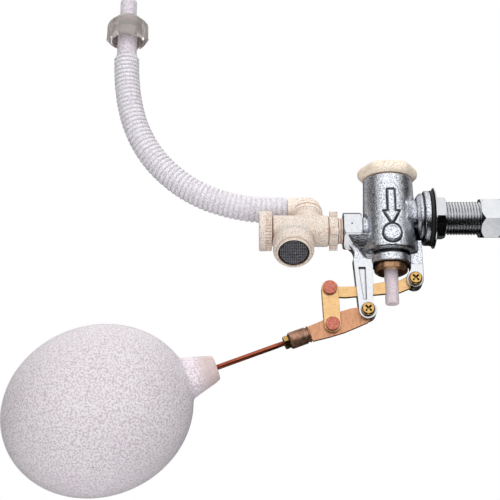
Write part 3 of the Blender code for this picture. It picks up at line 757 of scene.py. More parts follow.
def fork_chrome():
    """Chrome on the smoother faces of the casting, a little wavy."""
    skin = Surface("fork_chrome", (224, 226, 230), 0.16, 1.0)
    wave = skin.grain(2.4)
    skin.stain(wave, 0.4, 0.75, 0.3, (190, 193, 200))
    # Painted shade: near black in grooves, corners and the recess.
    skin.painted_crevice_shade(1.4, 0.4, 0.95, 0.98, (10, 10, 14))
    skin.uneven(skin.grain(0.6), 0.12, 0.24)
    skin.relief(wave, 0.12, 0.35)
    return skin.material


def lever_brass():
    """Pressed brass plate, brushed and slightly pitted."""
    skin = Surface("lever_brass", (244, 206, 152), 0.36, 1.0)
    brushed = skin.grain(0.22, 3.0, (0.05, 1, 1))
    skin.stain(skin.grain(3.2, 3.0), 0.38, 0.72, 0.55, (230, 182, 124))
    skin.stain(skin.grain(0.45), 0.5, 0.68, 0.7, (206, 150, 94))
    # Painted shade: dark brown in grooves and corners.
    skin.painted_crevice_shade(0.9, 0.25, 0.75, 0.8, (70, 42, 20))
    skin.stain(skin.edges(), 0.52, 0.6, 0.45, (248, 214, 150))
    skin.uneven(brushed, 0.28, 0.46)
    skin.relief(brushed, 0.03, 0.5)
    skin.relief(skin.grain(0.7), 0.05, 0.4)
    return skin.material


def turned_brass():
    """Machined brass: fine turning marks, and a warm, near-black painted shade in the hollows."""
    skin = Surface("turned_brass", (222, 180, 112), 0.22, 1.0)
    skin.stain(skin.grain(1.6, 3.0), 0.4, 0.75, 0.5, (188, 138, 74))
    skin.stain(skin.edges(), 0.52, 0.6, 0.5, (250, 224, 166))
    # Painted shade: near black in the hollows.
    skin.painted_crevice_shade(1.5, 0.4, 0.92, 1.0, (14, 9, 6))
    skin.uneven(skin.grain(0.4), 0.16, 0.34)
    skin.relief(skin.grain(0.35), 0.03, 0.4)
    return skin.material


def bush_brass():
    """Reddish brass of the gland bush, with painted shade dark in its bore."""
    skin = Surface("bush_brass", (168, 124, 92), 0.34, 0.9)
    skin.stain(skin.grain(1.8, 3.0), 0.4, 0.7, 0.8, (122, 92, 74))
    # Painted shade: dark in the bore and corners.
    skin.painted_crevice_shade(2.6, 0.35, 0.85, 0.92, (34, 26, 22))
    skin.stain(skin.edges(), 0.52, 0.6, 0.6, (206, 166, 128))
    skin.uneven(skin.grain(0.5), 0.18, 0.36)
    skin.relief(skin.grain(0.4), 0.03, 0.4)
    return skin.material


def brown_bronze():
    """Brushed bronze plate with a brown skin."""
    skin = Surface("brown_bronze", (226, 170, 134), 0.42, 0.9)
    brushed = skin.grain(0.3, 3.0, (1, 1, 0.07), (0, 20, 0))
    skin.stain(skin.grain(0.6, 3.0), 0.45, 0.68, 0.7, (190, 132, 98))
    skin.stain(brushed, 0.5, 0.78, 0.6, (166, 112, 76))
    # Painted shade: dark brown in grooves and corners.
    skin.painted_crevice_shade(0.9, 0.25, 0.75, 0.85, (38, 22, 14))
    skin.stain(skin.edges(), 0.52, 0.6, 0.35, (226, 170, 118))
    skin.uneven(brushed, 0.34, 0.52)
    skin.relief(brushed, 0.05, 0.5)
    return skin.material


def dark_bronze():
    """Turned bronze socket, darker than the plate."""
    skin = Surface("dark_bronze", (188, 146, 122), 0.38, 0.9)
    rings = skin.grain(0.35, 2.0, (1, 0.2, 1), (0, 20, 0))
    skin.stain(skin.grain(2.6, 3.0), 0.42, 0.66, 0.85, (126, 92, 76))
    # Painted shade: near black in the groove and corners.
    skin.painted_crevice_shade(1.0, 0.25, 0.75, 0.9, (20, 12, 8))
    skin.stain(skin.edges(), 0.52, 0.6, 0.5, (214, 160, 112))
    skin.uneven(rings, 0.28, 0.48)
    skin.relief(rings, 0.05, 0.5)
    return skin.material


def rivet_copper():
    """Copper rivet heads, hammered flat and matt."""
    skin = Surface("rivet_copper", (214, 132, 114), 0.42, 0.85)
    hammered = skin.grain(1.0, 2.5)
    skin.stain(hammered, 0.42, 0.62, 0.9, (182, 102, 86))
    # Painted shade: dark under the heads and in corners.
    skin.painted_crevice_shade(0.8, 0.25, 0.75, 0.85, (50, 18, 14))
    skin.uneven(skin.grain(0.4), 0.34, 0.54)
    skin.relief(hammered, 0.12, 0.5)
    skin.relief(skin.grain(0.35), 0.04, 0.5)
    return skin.material


def rod_copper():
    """Drawn copper rod with long draw marks."""
    skin = Surface("rod_copper", (178, 94, 70), 0.3, 1.0)
    drawn = skin.grain(0.25, 2.0, (0.04, 1, 1), (0, -20, 0))
    skin.stain(skin.grain(5.0, 3.0), 0.38, 0.7, 0.6, (134, 62, 44))
    skin.uneven(drawn, 0.24, 0.42)
    skin.relief(drawn, 0.03, 0.5)
    return skin.material


def cream_plastic(name, colour, shade, speck):
    """Moulded cream acetal: soft inside, mottled, with fine dark specks."""
    skin = Surface(name, colour, 0.36, 0.0, Subsurface_Weight=0.35, Subsurface_Scale=0.0022,
                   Coat_Weight=0.12, Coat_Roughness=0.25, Subsurface_Radius=(1.0, 0.75, 0.55))
    skin.stain(skin.grain(7.0), 0.35, 0.7, 0.35, shade)
    skin.stain(skin.grain(0.7, 1.0), 0.5, 0.62, 0.85, speck)
    # Painted shade: a warm darker tint in grooves and corners.
    skin.painted_crevice_shade(1.5, 0.35, 0.92, 0.85, (192, 142, 120))
    skin.uneven(skin.grain(1.2), 0.3, 0.48)
    skin.relief(skin.grain(0.8), 0.05, 0.5)
    return skin.material


def stem_plastic():
    """White translucent acetal of the stem."""
    skin = Surface("stem_plastic", (212, 200, 204), 0.38, 0.0, Subsurface_Weight=0.4,
                   Subsurface_Scale=0.003, Subsurface_Radius=(1.0, 0.8, 0.8))
    skin.stain(skin.grain(0.8), 0.46, 0.6, 0.85, (184, 170, 180))
    # Painted shade: greyer in the slot and corners.
    skin.painted_crevice_shade(1.5, 0.3, 0.8, 0.6, (140, 128, 134))
    skin.uneven(skin.grain(1.0), 0.32, 0.5)
    skin.relief(skin.grain(0.5), 0.05, 0.6)
    return skin.material


def float_plastic():
    """Blown polyethylene: milky, with a fine speckle and a soft sheen."""
    skin = Surface("float_plastic", (236, 227, 233), 0.42, 0.0, Subsurface_Weight=0.55,
                   Subsurface_Scale=0.009, Subsurface_Radius=(1.0, 0.9, 0.95))
    skin.stain(skin.grain(28.0), 0.35, 0.7, 0.3, (228, 217, 224))
    skin.stain(skin.grain(1.0, 1.5), 0.46, 0.58, 0.85, (188, 173, 182))
    skin.spot(NECK_MIDDLE, 9.0, 15.0, 0.85, (196, 178, 174))
    skin.spot(MOULD_PIP, 0.5, 1.0, 0.9, (70, 62, 60))
    skin.uneven(skin.grain(2.5), 0.34, 0.52)
    skin.relief(skin.grain(1.6), 0.08, 0.35)
    skin.relief(skin.grain(22.0, 1.0), 0.5, 0.12)
    return skin.material


def hose_plastic(name, colour, speck):
    """Milky corrugated polyethylene that lets light through."""
    skin = Surface(name, colour, 0.3, 0.0, Subsurface_Weight=0.4, Subsurface_Scale=0.003,
                   Transmission_Weight=0.12, IOR=1.45, Subsurface_Radius=(1.0, 0.9, 1.0))
    skin.stain(skin.grain(1.0, 1.5), 0.47, 0.6, 0.85, speck)
    # Painted shade: lilac-grey down between the ribs.
    skin.painted_crevice_shade(1.0, 0.35, 0.9, 0.35, (176, 166, 184))
    skin.uneven(skin.grain(1.5), 0.24, 0.42)
    skin.relief(skin.grain(0.7), 0.04, 0.5)
    return skin.material


def clear_plastic():
    """Nearly clear moulded nut with a faint yellow cast."""
    skin = Surface("clear_plastic", (222, 215, 211), 0.12, 0.0, Transmission_Weight=0.72, IOR=1.25)
    skin.stain(skin.grain(1.0), 0.42, 0.68, 0.7, (196, 186, 181))
    # Painted highlight on the outer edges, and painted shade in the hollows, both from pointiness.
    skin.stain(skin.edges(), 0.51, 0.56, 0.8, (248, 245, 242))
    skin.fading(skin.edges(), 0.45, 0.49, 0.7, (120, 110, 106))
    skin.uneven(skin.grain(1.0), 0.06, 0.2)
    skin.relief(skin.grain(1.4), 0.08, 0.4)
    return skin.material


def black_rubber():
    """Moulded rubber, matt with a dusty bloom."""
    skin = Surface("black_rubber", (26, 26, 28), 0.55)
    skin.stain(skin.grain(0.8, 3.0), 0.5, 0.8, 0.5, (62, 62, 64))
    skin.uneven(skin.grain(1.5), 0.45, 0.7)
    skin.relief(skin.grain(0.4), 0.06, 0.5)
    return skin.material


def black_wire():
    """Dark plastic-coated wire of the screen."""
    skin = Surface("black_wire", (158, 158, 166), 0.3, 0.5)
    skin.stain(skin.grain(1.4), 0.46, 0.7, 0.7, (84, 86, 94))
    # Painted shade: near black where the wires cross and meet the rim.
    skin.painted_crevice_shade(0.5, 0.2, 0.7, 0.9, (20, 20, 24))
    skin.uneven(skin.grain(0.4), 0.28, 0.5)
    skin.relief(skin.grain(0.3), 0.03, 0.4)
    return skin.material


def bore_shade_black():
    """Black disc behind the wires: painted shade that stands in for the dark bore seen through the mesh."""
    skin = Surface("bore_shade_black", (14, 14, 16), 0.6)
    skin.stain(skin.grain(1.5), 0.5, 0.8, 0.5, (34, 34, 38))
    skin.uneven(skin.grain(0.8), 0.5, 0.75)
    skin.relief(skin.grain(0.5), 0.04, 0.5)
    return skin.material


def floor_paper():
    """Matt pale paper for the floor."""
    skin = Surface("floor_paper", (238, 238, 240), 0.85)
    skin.stain(skin.grain(90.0), 0.35, 0.7, 0.3, (228, 228, 231))
    skin.relief(skin.grain(2.0), 0.05, 0.2)
    return skin.material


FINISH = {make.__name__: make() for make in (
    cast_chrome, bright_chrome, thread_chrome, fork_chrome, lever_brass, turned_brass, bush_brass,
    brown_bronze, dark_bronze, rivet_copper, rod_copper, stem_plastic, float_plastic, clear_plastic,
    black_rubber, black_wire, bore_shade_black)}
for cream, colours in (("cap_cream", ((247, 238, 222), (240, 222, 202), (214, 182, 156))),
                       ("tee_cream", ((228, 219, 208), (218, 203, 191), (182, 152, 136))),
                       ("elbow_cream", ((240, 232, 221), (230, 214, 202), (200, 172, 154)))):
    FINISH[cream] = cream_plastic(cream, *colours)
FINISH["hose_plastic"] = hose_plastic("hose_plastic", (248, 244, 250), (212, 200, 214))
FINISH["sleeve_plastic"] = hose_plastic("sleeve_plastic", (230, 224, 230), (188, 176, 188))


# ---- camera
def make_camera():
    """Camera in front of and below the part, looking up at it."""
    data = bpy.data.cameras.new("camera")
    data.sensor_width = 36.0
    data.lens = 90.0
    data.clip_start = 0.01
    camera = bpy.data.objects.new("camera", data)
    camera.location = Vector(CAMERA_PLACE) * MM
    camera.rotation_euler = (math.radians(90 + CAMERA_TILT), 0, 0)
    bpy.context.scene.collection.objects.link(camera)
    bpy.context.scene.camera = camera


# ---- hose
def smooth_route():
    """Fine points on a smooth curve through the route's own points, with the way travelled."""
    knots = [Vector((x, HOSE_Y, z)) for x, z in HOSE_ROUTE]
    ends = [knots[0] * 2 - knots[1]] + knots + [knots[-1] * 2 - knots[-2]]
    fine = []
    for index in range(1, len(ends) - 2):
        before, first, second, after = ends[index - 1:index + 3]
        for step in range(24):
            share = step / 24
            fine.append(0.5 * (2 * first + (second - before) * share
                               + (2 * before - 5 * first + 4 * second - after) * share ** 2
                               + (3 * first - before - 3 * second + after) * share ** 3))
    fine.append(knots[-1])
    travelled = [0.0]
    for first, second in zip(fine, fine[1:]):
        travelled.append(travelled[-1] + (second - first).length)
    return fine, travelled


def on_route(fine, travelled, distance):
    """Point and direction at a distance along the route."""
    upper = min(len(fine) - 1, max(1, int(np.searchsorted(travelled, distance))))
    share = (distance - travelled[upper - 1]) / (travelled[upper] - travelled[upper - 1])
    point = fine[upper - 1].lerp(fine[upper], share)
    ahead = fine[min(len(fine) - 1, upper + 1)] - fine[max(0, upper - 2)]
    return point, ahead.normalized()


def rib_shape(phase):
    """Height of the corrugation, 0 in the narrow groove and 1 on the round crest."""
    return abs(math.sin(math.pi * phase)) ** 0.62


def make_hose():
    """Thin corrugated tube: an outer skin with even ribs and an inner skin that follows it."""
    fine, travelled = smooth_route()
    length = travelled[-1]
    start_pitch, end_pitch = RIB_PITCH
    ribs = round(2 * length / (start_pitch + end_pitch))
    cuff = 1.2
    depth = 1.1
    wall = 0.9
    per_rib = 10
    around = 48
    outer = []
    inner = []
    centres = []
    for index in range(ribs * per_rib + 1):
        phase = index / per_rib
        share = phase / ribs
        eased = share * start_pitch + (end_pitch - start_pitch) * share ** 2 / 2
        distance = length * eased / ((start_pitch + end_pitch) / 2)
        point, ahead = on_route(fine, travelled, distance)
        side = AXIS_Y.cross(ahead).normalized()
        ribbed = HOSE_R - depth * (1 - rib_shape(phase))
        if min(distance, length - distance) < cuff:
            ribbed = HOSE_R - depth
        centres.append(point * MM)
        outer.append(circle(point, side, AXIS_Y, ribbed, around))
        inner.append(circle(point, side, AXIS_Y, ribbed - wall, around))
    mesh_data = bmesh.new()
    add_skin(mesh_data, outer + inner[::-1], closed_round=True)
    hose = to_object(mesh_data, Matrix.Identity(4))
    hose.data.shade_smooth()
    set_piece(hose, "corrugated_hose", "hose_plastic", "hose_plastic", "hose")
    return hose, centres, length * MM


def hose_fittings():
    """Sleeve with nozzle, clear union nut and the packing seen through it."""
    foot = SLEEVE_FOOT
    foot_r = SLEEVE_R + 0.3
    sleeve = lathed([(NOZZLE_BORE_R, foot), (foot_r, foot, 0.3), (foot_r, foot + 1.6, 0.3),
                     (SLEEVE_R, foot + 2.0, 0.2), (SLEEVE_R, SLEEVE_TOP, 0.5),
                     (NOZZLE_R, SLEEVE_TOP + 1.4, 0.5), (NOZZLE_R, NOZZLE_MOUTH, 1.0),
                     (NOZZLE_BORE_R, NOZZLE_MOUTH, 0.4)], 0.2, RISER)
    set_piece(sleeve, "nozzle_sleeve", "sleeve_plastic", "hose_plastic", "hose_nozzle")
    foot = HOSE_NUT_FOOT
    inner = SLEEVE_R + GAP
    nut = union_nut_blank(foot)
    cut(nut, turned([(0, foot - 2), (10.4, foot - 2), (10.4, foot + 13.9), (9.8, foot + 14.3),
                     (0, foot + 14.3)], RISER, 48, twist=0.31),
        rod(inner, foot, foot + 23, RISER, 48))
    set_piece(soften(nut, 0.35), "clear_union_nut", "clear_plastic", "clear_plastic", "hose_union_nut")
    low, high = span("hose_packing", 2)
    packing = lathed([(inner, low), (HOSE_PACKING_R, low), (HOSE_PACKING_R, high), (inner, high)], 0.5,
                     RISER, 64)
    set_piece(packing, "nut_packing", "black_rubber", "black_rubber", "hose_packing")
    return sleeve, nut, packing


def union_nut_blank(foot):
    """Hexagon with a tapered top and a slight flare round its foot."""
    corner = HOSE_NUT_FLATS / math.sqrt(3)
    top = foot + HOSE_NUT_HEIGHT
    limits = turned([(0, foot - 0.1), (corner - 3.0, foot - 0.1), (corner + 0.1, foot + 1.6),
                     (corner - 0.4, foot + 3.2), (corner - 0.6, top - 5.1), (9.0, top - 1.1),
                     (8.0, top + 0.1), (0, top + 0.1)], RISER, 96)
    return shared(plate(hexagon(HOSE_NUT_FLATS), foot, top, RISER), limits)


# ---- the casting
ARROW = {"top": 12.8, "neck": -1.6, "tip": -9.0, "shaft": 1.9, "head": 4.1}
PAD_Z = -15.4
PAD_R = 5.3
MARK_HEIGHT = 0.8
RIM_HEIGHT = 0.3                 # ring round the pad, on top of its height
GROOVE_DEPTH = 1.0
GROOVE_WIDTH = 0.48


def box_distance(across, up, low, high, half):
    """Signed distance to an upright rectangle, negative inside."""
    side = abs(across) - half
    end = max(low - up, up - high)
    if side > 0 and end > 0:
        return math.hypot(side, end)
    return max(side, end)


def arrow_distance(across, up):
    """Signed distance to a plain arrow that points down, negative inside."""
    shaft = box_distance(across, up, ARROW["neck"] - 1, ARROW["top"], ARROW["shaft"])
    height = ARROW["neck"] - ARROW["tip"]
    lean = Vector((height, -ARROW["head"])).normalized()
    slant = abs(across) * lean.x - (up - ARROW["tip"]) * -lean.y
    head = max(slant, up - ARROW["neck"])
    return min(shaft, head)


def front_marks(point):
    """Raised arrow and raised blank pad on the barrel's front, each with a groove round it."""
    if point.y > -8 or abs(point.x - BARREL_X) > 11:
        return Vector((0, 0, 0))
    out = Vector((point.x - BARREL_X, point.y, 0))
    across = out.length * math.atan2(out.x, -out.y)
    pad = math.hypot(across, point.z - PAD_Z) - PAD_R
    ring = abs(pad + 0.9) - 0.45
    distance = min(arrow_distance(across, point.z), pad)
    raised = max(0.0, min(1.0, 0.5 - distance / 0.7))
    groove = math.exp(-((distance - 0.8) / GROOVE_WIDTH) ** 2)
    rim = max(0.0, min(1.0, 0.5 - ring / 0.5))
    return out.normalized() * (MARK_HEIGHT * raised - GROOVE_DEPTH * groove + RIM_HEIGHT * rim)


def cast_skin(point, normal):
    """The slightly lumpy skin of a sand casting."""
    swell = noise.noise(point * 0.35) * 0.04 + noise.noise(point * 1.1) * 0.04
    return normal * swell + front_marks(point)


def make_casting():
    """Barrel, neck, spout neck, web and fork heads as one rough casting with its chambers."""
    low = BARREL_LOW
    barrel = turned([(0, BARREL_TOP), (BARREL_TOP_R - 0.5, BARREL_TOP), (BARREL_TOP_R, BARREL_TOP - 0.6),
                     (BARREL_LOW_R, low), (BARREL_LOW_R - 0.6, low - 1.0), (14.8, low - 1.6),
                     (14.6, low - 1.7), (11.4, low - 1.8), (11.4, low - 2.8), (COLLAR_R, low - 3.1),
                     (COLLAR_R, COLLAR_LOW), (0, COLLAR_LOW)], UPRIGHT, 96)
    neck = turned([(0, -17), (14.6, -17), (13.0, -14.8), (11.8, -12.8), (11.5, -11.2), (11.5, -7), (0, -7)],
                  INLET, 72)
    spout = turned([(0, -50), (8.1, -50), (8.1, -44), (9.0, -41), (10.4, -38.6), (11.6, -36), (0, -36)],
                   OUTLET, 72)
    web = plate(rounded([(-52.6, -15.5), (-36.0, -14.0), (-36.0, -30.5), (-50.0, -30.5)]
                        + arc((-55.5, -25.0), 6.0, -20, 58, 8), 0.3), -4.4, 4.4, SIDE)
    lug_head = plate([(-15.4, -16.0), (-15.4, -33.4), (-7.4, -33.4), (-7.6, -16.0)], -4.3, 4.3, SIDE)
    levels = [(-54.0, 10.9, -14.0), (-51.0, 9.4, -17.6), (-47.0, 7.6, -21.2), (-44.5, 5.8, -25.2),
              (-40.5, 4.3, -29.6)]
    gusset = stacked([([(left, -half), (-30, -half), (-30, half), (left, half)], height)
                      for left, half, height in levels], Matrix.Identity(4))
    casting = joined(barrel, neck, spout, web, lug_head, gusset)
    chambers = turned([(0, BARREL_TOP + 5), (CHAMBER_R, BARREL_TOP + 5), (CHAMBER_R, -2), (6.8, -2),
                       (6.8, -6), (CHAMBER_R, -6), (CHAMBER_R, -21.7), (9.2, -21.8), (9.2, COLLAR_LOW - 5),
                       (0, COLLAR_LOW - 5)], UPRIGHT, 72, twist=0.31)
    cut(casting, chambers, rod(BORE_R, -15.9, 0, INLET), rod(SPOUT_BORE_R, -60, -37.6, OUTLET))
    melted(casting, CAST_GRAIN, 7)
    moved_points(casting, cast_skin)
    casting.data.shade_smooth()
    set_piece(casting, "valve_casting", "cast_chrome", "rough_chrome", "valve_body")


def thread_radius(radius, height, share):
    """Helical ridge round the shank; the unthreaded points keep their radius."""
    if radius != SHANK_R:
        return radius
    phase = (height / PITCH - share) % 1.0
    ridge = 0.5 - 0.5 * math.cos(2 * math.pi * phase)
    return SHANK_ROOT_R + (SHANK_R - SHANK_ROOT_R) * ridge ** 0.8


def make_shank():
    """Machined wall flange with its steps, and the threaded shank with its bore."""
    face = GASKET_FACE - GAP
    flange = lathed([(BORE_R, -10.4), (12.8, -10.4, 0.9), (15.4, -8.4, 0.8), (15.7, -6.9, 0.2),
                     (14.8, -6.7, 0.1), (14.8, -6.0, 0.1), (FLANGE_R - 0.4, -5.7, 0.5),
                     (FLANGE_R, -4.9, 0.4), (FLANGE_R, face, 0.5), (BORE_R, face)], 0.3, INLET, 120)
    set_piece(flange, "wall_flange", "cast_chrome", "bright_chrome")
    profile = [(BORE_R, -5.0), (SHANK_ROOT_R, -5.0), (SHANK_ROOT_R, 0.4)]
    height = 0.7
    while height < SHANK_END - 0.8:
        profile.append((SHANK_R, height))
        height += PITCH / 12
    profile += [(SHANK_ROOT_R + 0.2, SHANK_END - 0.7), (SHANK_ROOT_R - 0.4, SHANK_END), (BORE_R, SHANK_END)]
    shank = turned(profile, INLET, 72, thread_radius)
    set_piece(crisp(shank, 50), "threaded_shank", "thread_chrome", "bright_chrome")


def make_spout():
    """Spout hexagon with a punch mark on its upper face, and the grooved spigot."""
    corner = SPOUT_HEX / math.sqrt(3)
    flat = SPOUT_HEX / 2
    lean = math.radians(SPOUT_TURN)
    hexed = plate(hexagon(SPOUT_HEX, -SPOUT_TURN), -55.7, -44.6, OUTLET)
    shared(hexed, turned([(0, -55.8), (corner - 1.3, -55.8), (corner + 0.2, -54.3), (corner + 0.2, -46.0),
                          (corner - 1.3, -44.5), (0, -44.5)], OUTLET, 96))
    dimple = along((-50.8, 0, SPOUT_Z), (0, -math.cos(lean), math.sin(lean)), up=(1, 0, 0))
    cut(hexed, rod(0.45, flat - 0.5, flat + 1, dimple, 16), rod(SPOUT_BORE_R, -60, -40, OUTLET))
    spigot = lathed([(SPOUT_BORE_R, SPOUT_END), (SPIGOT_R, SPOUT_END, 0.5), (SPIGOT_R, -64.6), (4.9, -64.6),
                     (4.9, -62.6), (SPIGOT_R, -62.6), (SPIGOT_R, -53), (SPOUT_BORE_R, -53)], 0.1, OUTLET, 64)
    merged(soften(hexed, 0.45), spigot)
    set_piece(hexed, "spout_hexagon", "fork_chrome", "rough_chrome")


def make_fork():
    """Long fork: a tapered bar split into two cheeks, with a recess in its front."""
    outline = [(-50.2, -27.8), (-37.9, -27.8), (-38.2, -31.5), (-38.9, -56.0)]
    outline += arc((PIVOT_A.x, PIVOT_A.z), FORK_EYE_R, 48, -186, 40)
    fork = plate(outline, -CHEEK_OUT, CHEEK_OUT, SIDE)
    recess = rounded([(-47.2, -33.7), (-42.8, -33.7), (-42.6, -54.6), (-44.8, -54.6)], 0.5)
    cut(fork, block((-60, -SLOT_HALF, -80), (-34, SLOT_HALF, -33.5)),
        plate(recess, CHEEK_OUT - FORK_RECESS, CHEEK_OUT + 2, SIDE), pin_hole(PIVOT_A, SCREW_SHANK_R))
    set_piece(soften(fork, 0.5, 4), "long_fork", "fork_chrome", "bright_chrome")


def make_lug():
    """Short lug with two cheeks round the upper lever's pivot."""
    outline = [(-7.4, -31.5), (-7.5, PIVOT_B.z)]
    outline += arc((PIVOT_B.x, PIVOT_B.z), LUG_EYE_R, -10, -190, 34)
    outline += [(-17.6, -39.0), (-15.2, -34.6), (-15.2, -31.5)]
    lug = plate(outline, -CHEEK_OUT, CHEEK_OUT, SIDE)
    cut(lug, block((-22, -SLOT_HALF, -60), (-1, SLOT_HALF, -33.2)), pin_hole(PIVOT_B, SCREW_SHANK_R))
    set_piece(soften(lug, 0.5, 4), "short_lug", "fork_chrome", "bright_chrome")


def rounded_hexagon(flats, rounding, turn=0.0):
    """Hexagon with round corners, with the same number of points at any size."""
    corners = [(x, y, rounding) for x, y in hexagon(flats, turn)]
    return rounded(corners, rounding, 8)


def make_cap():
    """Cream cap: a thick hexagon with round corners, chamfered below and domed above."""
    low = BARREL_TOP + GAP
    top = high_of("top_cap").z
    levels = [(29.0, 4.6, low), (31.4, 4.4, low + 0.6), (33.6, 4.2, low + 2.0), (34.5, 4.0, low + 3.4),
              (34.6, 4.0, low + 5.0), (33.8, 4.2, low + 6.4), (32.2, 4.6, low + 7.5),
              (29.8, 5.0, top - 0.2), (28.4, 5.0, top)]
    cap = stacked([(rounded_hexagon(flats, corner), height) for flats, corner, height in levels], UPRIGHT)
    recess = rounded([(0, top - 2.2), (7.6, top - 2.2, 0.8), (8.6, top + 1), (0, top + 1)], 0.4)
    cut(cap, turned(recess, UPRIGHT, 60))
    plug = lathed([(0, 15.5), (10.2, 15.5), (10.9, 16.4), (10.9, 18.0), (9.0, 18.0), (9.0, 20.4),
                   (10.9, 20.4), (10.9, low + 1), (0, low + 1)], 0.1, UPRIGHT, 64)
    merged(soften(cap, 0.3, 3, 40), plug)
    set_piece(crisp(cap, 32), "barrel_cap", "cap_cream", "cream_plastic", "top_cap")


def make_bush():
    """Hexagon gland bush with a chamfered foot and a countersunk bore."""
    low = BUSH_LOW
    levels = [(18.0, low), (19.4, low + 0.5), (20.0, low + 1.2), (20.0, COLLAR_LOW - GAP)]
    head = stacked([(rounded_hexagon(flats, 4.6), height) for flats, height in levels], UPRIGHT)
    joined(head, rod(8.9, COLLAR_LOW - 1.0, -22.0, UPRIGHT, 64))
    cut(head, turned([(0, low - 1), (9.1, low - 1), (9.0, low + 0.2), (8.5, low + 0.9), (7.6, low + 1.6),
                      (7.6, -21), (0, -21)], UPRIGHT, 72, twist=0.31))
    set_piece(soften(head, 0.3), "gland_bush_turned", "bush_brass", "brass", "gland_bush")


def make_stem():
    """Plastic piston with its slotted round stem."""
    profile = rounded([(0, -13.9), (6.6, -13.9), (6.6, -11.4), (7.0, -11.4), (7.0, -22.2), (5.5, -22.2),
                       (5.5, -24.4), (7.0, -24.4), (7.0, -27.6), (6.2, -28.4), (STEM_R, -28.6, 0.3),
                       (4.2, STEM_LOW + 0.6, 0.5), (3.7, STEM_LOW, 0.3), (0, STEM_LOW)], 0.1)
    stem = turned(profile, UPRIGHT, 72)
    slot = [(-SLOT_HALF, -51.2), (SLOT_HALF, -51.2), (SLOT_HALF, -40.3), (-SLOT_HALF, -40.3)]
    across = axes((BARREL_X, 0, 0), AXIS_Y, AXIS_Z)
    cut(stem, plate(rounded(slot, 0.6), -8, 8, across))
    soften(stem, 0.2)
    set_piece(stem, "slotted_stem", "stem_plastic", "white_plastic", "piston_stem", body="stem")


# ---- on the shank
def shank_ring(name, node, outer, low, high, edge, finish):
    """Flat ring on the shank with rounded edges."""
    inner = SHANK_R + GAP
    piece = lathed([(inner, low), (outer, low), (outer, high), (inner, high)], edge, INLET, 120)
    set_piece(piece, name, finish, finish, node)


def nut_blank(flats, low, high, cone, both_ends, turn):
    """Hexagon nut whose corners are turned off, so that each flat ends in an arc."""
    corner = flats / math.sqrt(3)
    drop = corner - flats / 2
    blank = plate(hexagon(flats, turn), low, high, INLET)
    foot = corner - drop * 0.95 if both_ends else corner + 0.3
    limits = [(0, low - 0.1), (foot, low - 0.1)]
    if both_ends:
        limits.append((corner + 0.2, low + cone))
    limits += [(corner + 0.2, high - cone), (corner - drop * 0.95, high + 0.1), (0, high + 0.1)]
    return shared(blank, turned(limits, INLET, 120))


def make_nuts():
    """Lock nut that clamps the tank wall, and the union nut at the shank's end."""
    low, high = span("lock_nut", 0)
    hole = SHANK_R + GAP
    mouth = SHANK_R + 1.1
    nut = nut_blank(LOCK_NUT_FLATS, low, high, 1.4, False, LOCK_NUT_TURN)
    cut(nut, turned([(0, low - 1), (mouth, low - 1), (mouth, low), (hole, low + 0.9), (hole, high - 0.9),
                     (mouth, high), (mouth, high + 1), (0, high + 1)], INLET, 60, twist=0.31))
    set_piece(soften(nut, 0.5), "shank_lock_nut", "bright_chrome", "bright_chrome", "lock_nut")
    low, high = span("end_nut", 0)
    nut = nut_blank(END_NUT_FLATS, low, high, 2.6, True, END_NUT_TURN)
    cut(nut, rod(hole, low - 1, high - 2.3, INLET, 60), rod(6.6, low, high + 2, INLET, 48))
    set_piece(soften(nut, 0.6), "supply_end_nut", "bright_chrome", "bright_chrome", "end_nut")


# ---- tee, port, knob and elbow
def port_rib(radius, height, share):
    """Fine axial ribs round the foot of the port's cup."""
    if radius < 12.4 or height < 9:
        return radius
    return radius - 0.32 * (0.5 - 0.5 * math.cos(2 * math.pi * PORT_RIBS * share))


def make_tee():
    """Moulded tee with soft fillets where the port and the swivel boss leave it."""
    mouth = PORT_REACH
    tee = turned([(0, TEE_LEFT), (TEE_R - 0.6, TEE_LEFT), (TEE_R, TEE_LEFT + 0.6), (TEE_R, -65.6),
                  (TEE_R - 0.6, -65.0), (7.6, -65), (7.6, TEE_END + 0.3), (7.3, TEE_END), (0, TEE_END)],
                 OUTLET, 72)
    port = turned([(0, 1), (11.4, 1), (11.2, 6), (11.6, 9.0), (12.3, 12.2), (12.6, 15.0),
                   (12.6, mouth - 3.4), (12.3, mouth - 2.4), (11.6, mouth - 1.7), (10.2, mouth - 1.5),
                   (0, mouth - 1.5)], PORT, 80)
    boss = turned([(0, 1), (9.4, 1), (9.2, 11.0), (9.9, 11.4), (9.9, 12.9), (6.0, 12.9), (6.0, 17.0),
                   (0, 17.0)], ELBOW, 64)
    joined(tee, port, boss)
    cut(tee, rod(TEE_BORE_R, TEE_LEFT - 3, TEE_END + 1, OUTLET), rod(4.5, 2, mouth - 8, PORT),
        rod(PORT_BORE_R, mouth - 9, mouth + 3, PORT, 60), rod(4.0, 2, 20, ELBOW))
    melted(tee, 0.34, 6)
    tee.data.shade_smooth()
    ribs = [(10.6, 8.8), (11.7, 8.8), (12.5, 9.6), (12.75, 13.4), (12.4, 14.2), (10.6, 14.2)]
    merged(tee, crisp(turned(ribs, PORT, 288, port_rib)))
    set_piece(tee, "moulded_tee", "tee_cream", "cream_plastic", "tee_body")
    lip = lathed([(PORT_BORE_R, mouth - 3.4), (10.6, mouth - 3.4), (10.6, mouth - 0.4, 0.35),
                  (10.2, mouth, 0.3), (PORT_BORE_R, mouth, 0.25)], 0.1, PORT, 96)
    set_piece(lip, "port_lip", "tee_cream", "cream_plastic")


def wire(points):
    """Rings of a thin closed tube through points that lie near a straight line."""
    sections = []
    for index, point in enumerate(points):
        ahead = (points[min(index + 1, len(points) - 1)] - points[max(index - 1, 0)]).normalized()
        side = ahead.cross(AXIS_Z).normalized()
        sections.append(circle(point, side, side.cross(ahead), WIRE_R, 6))
    return sections


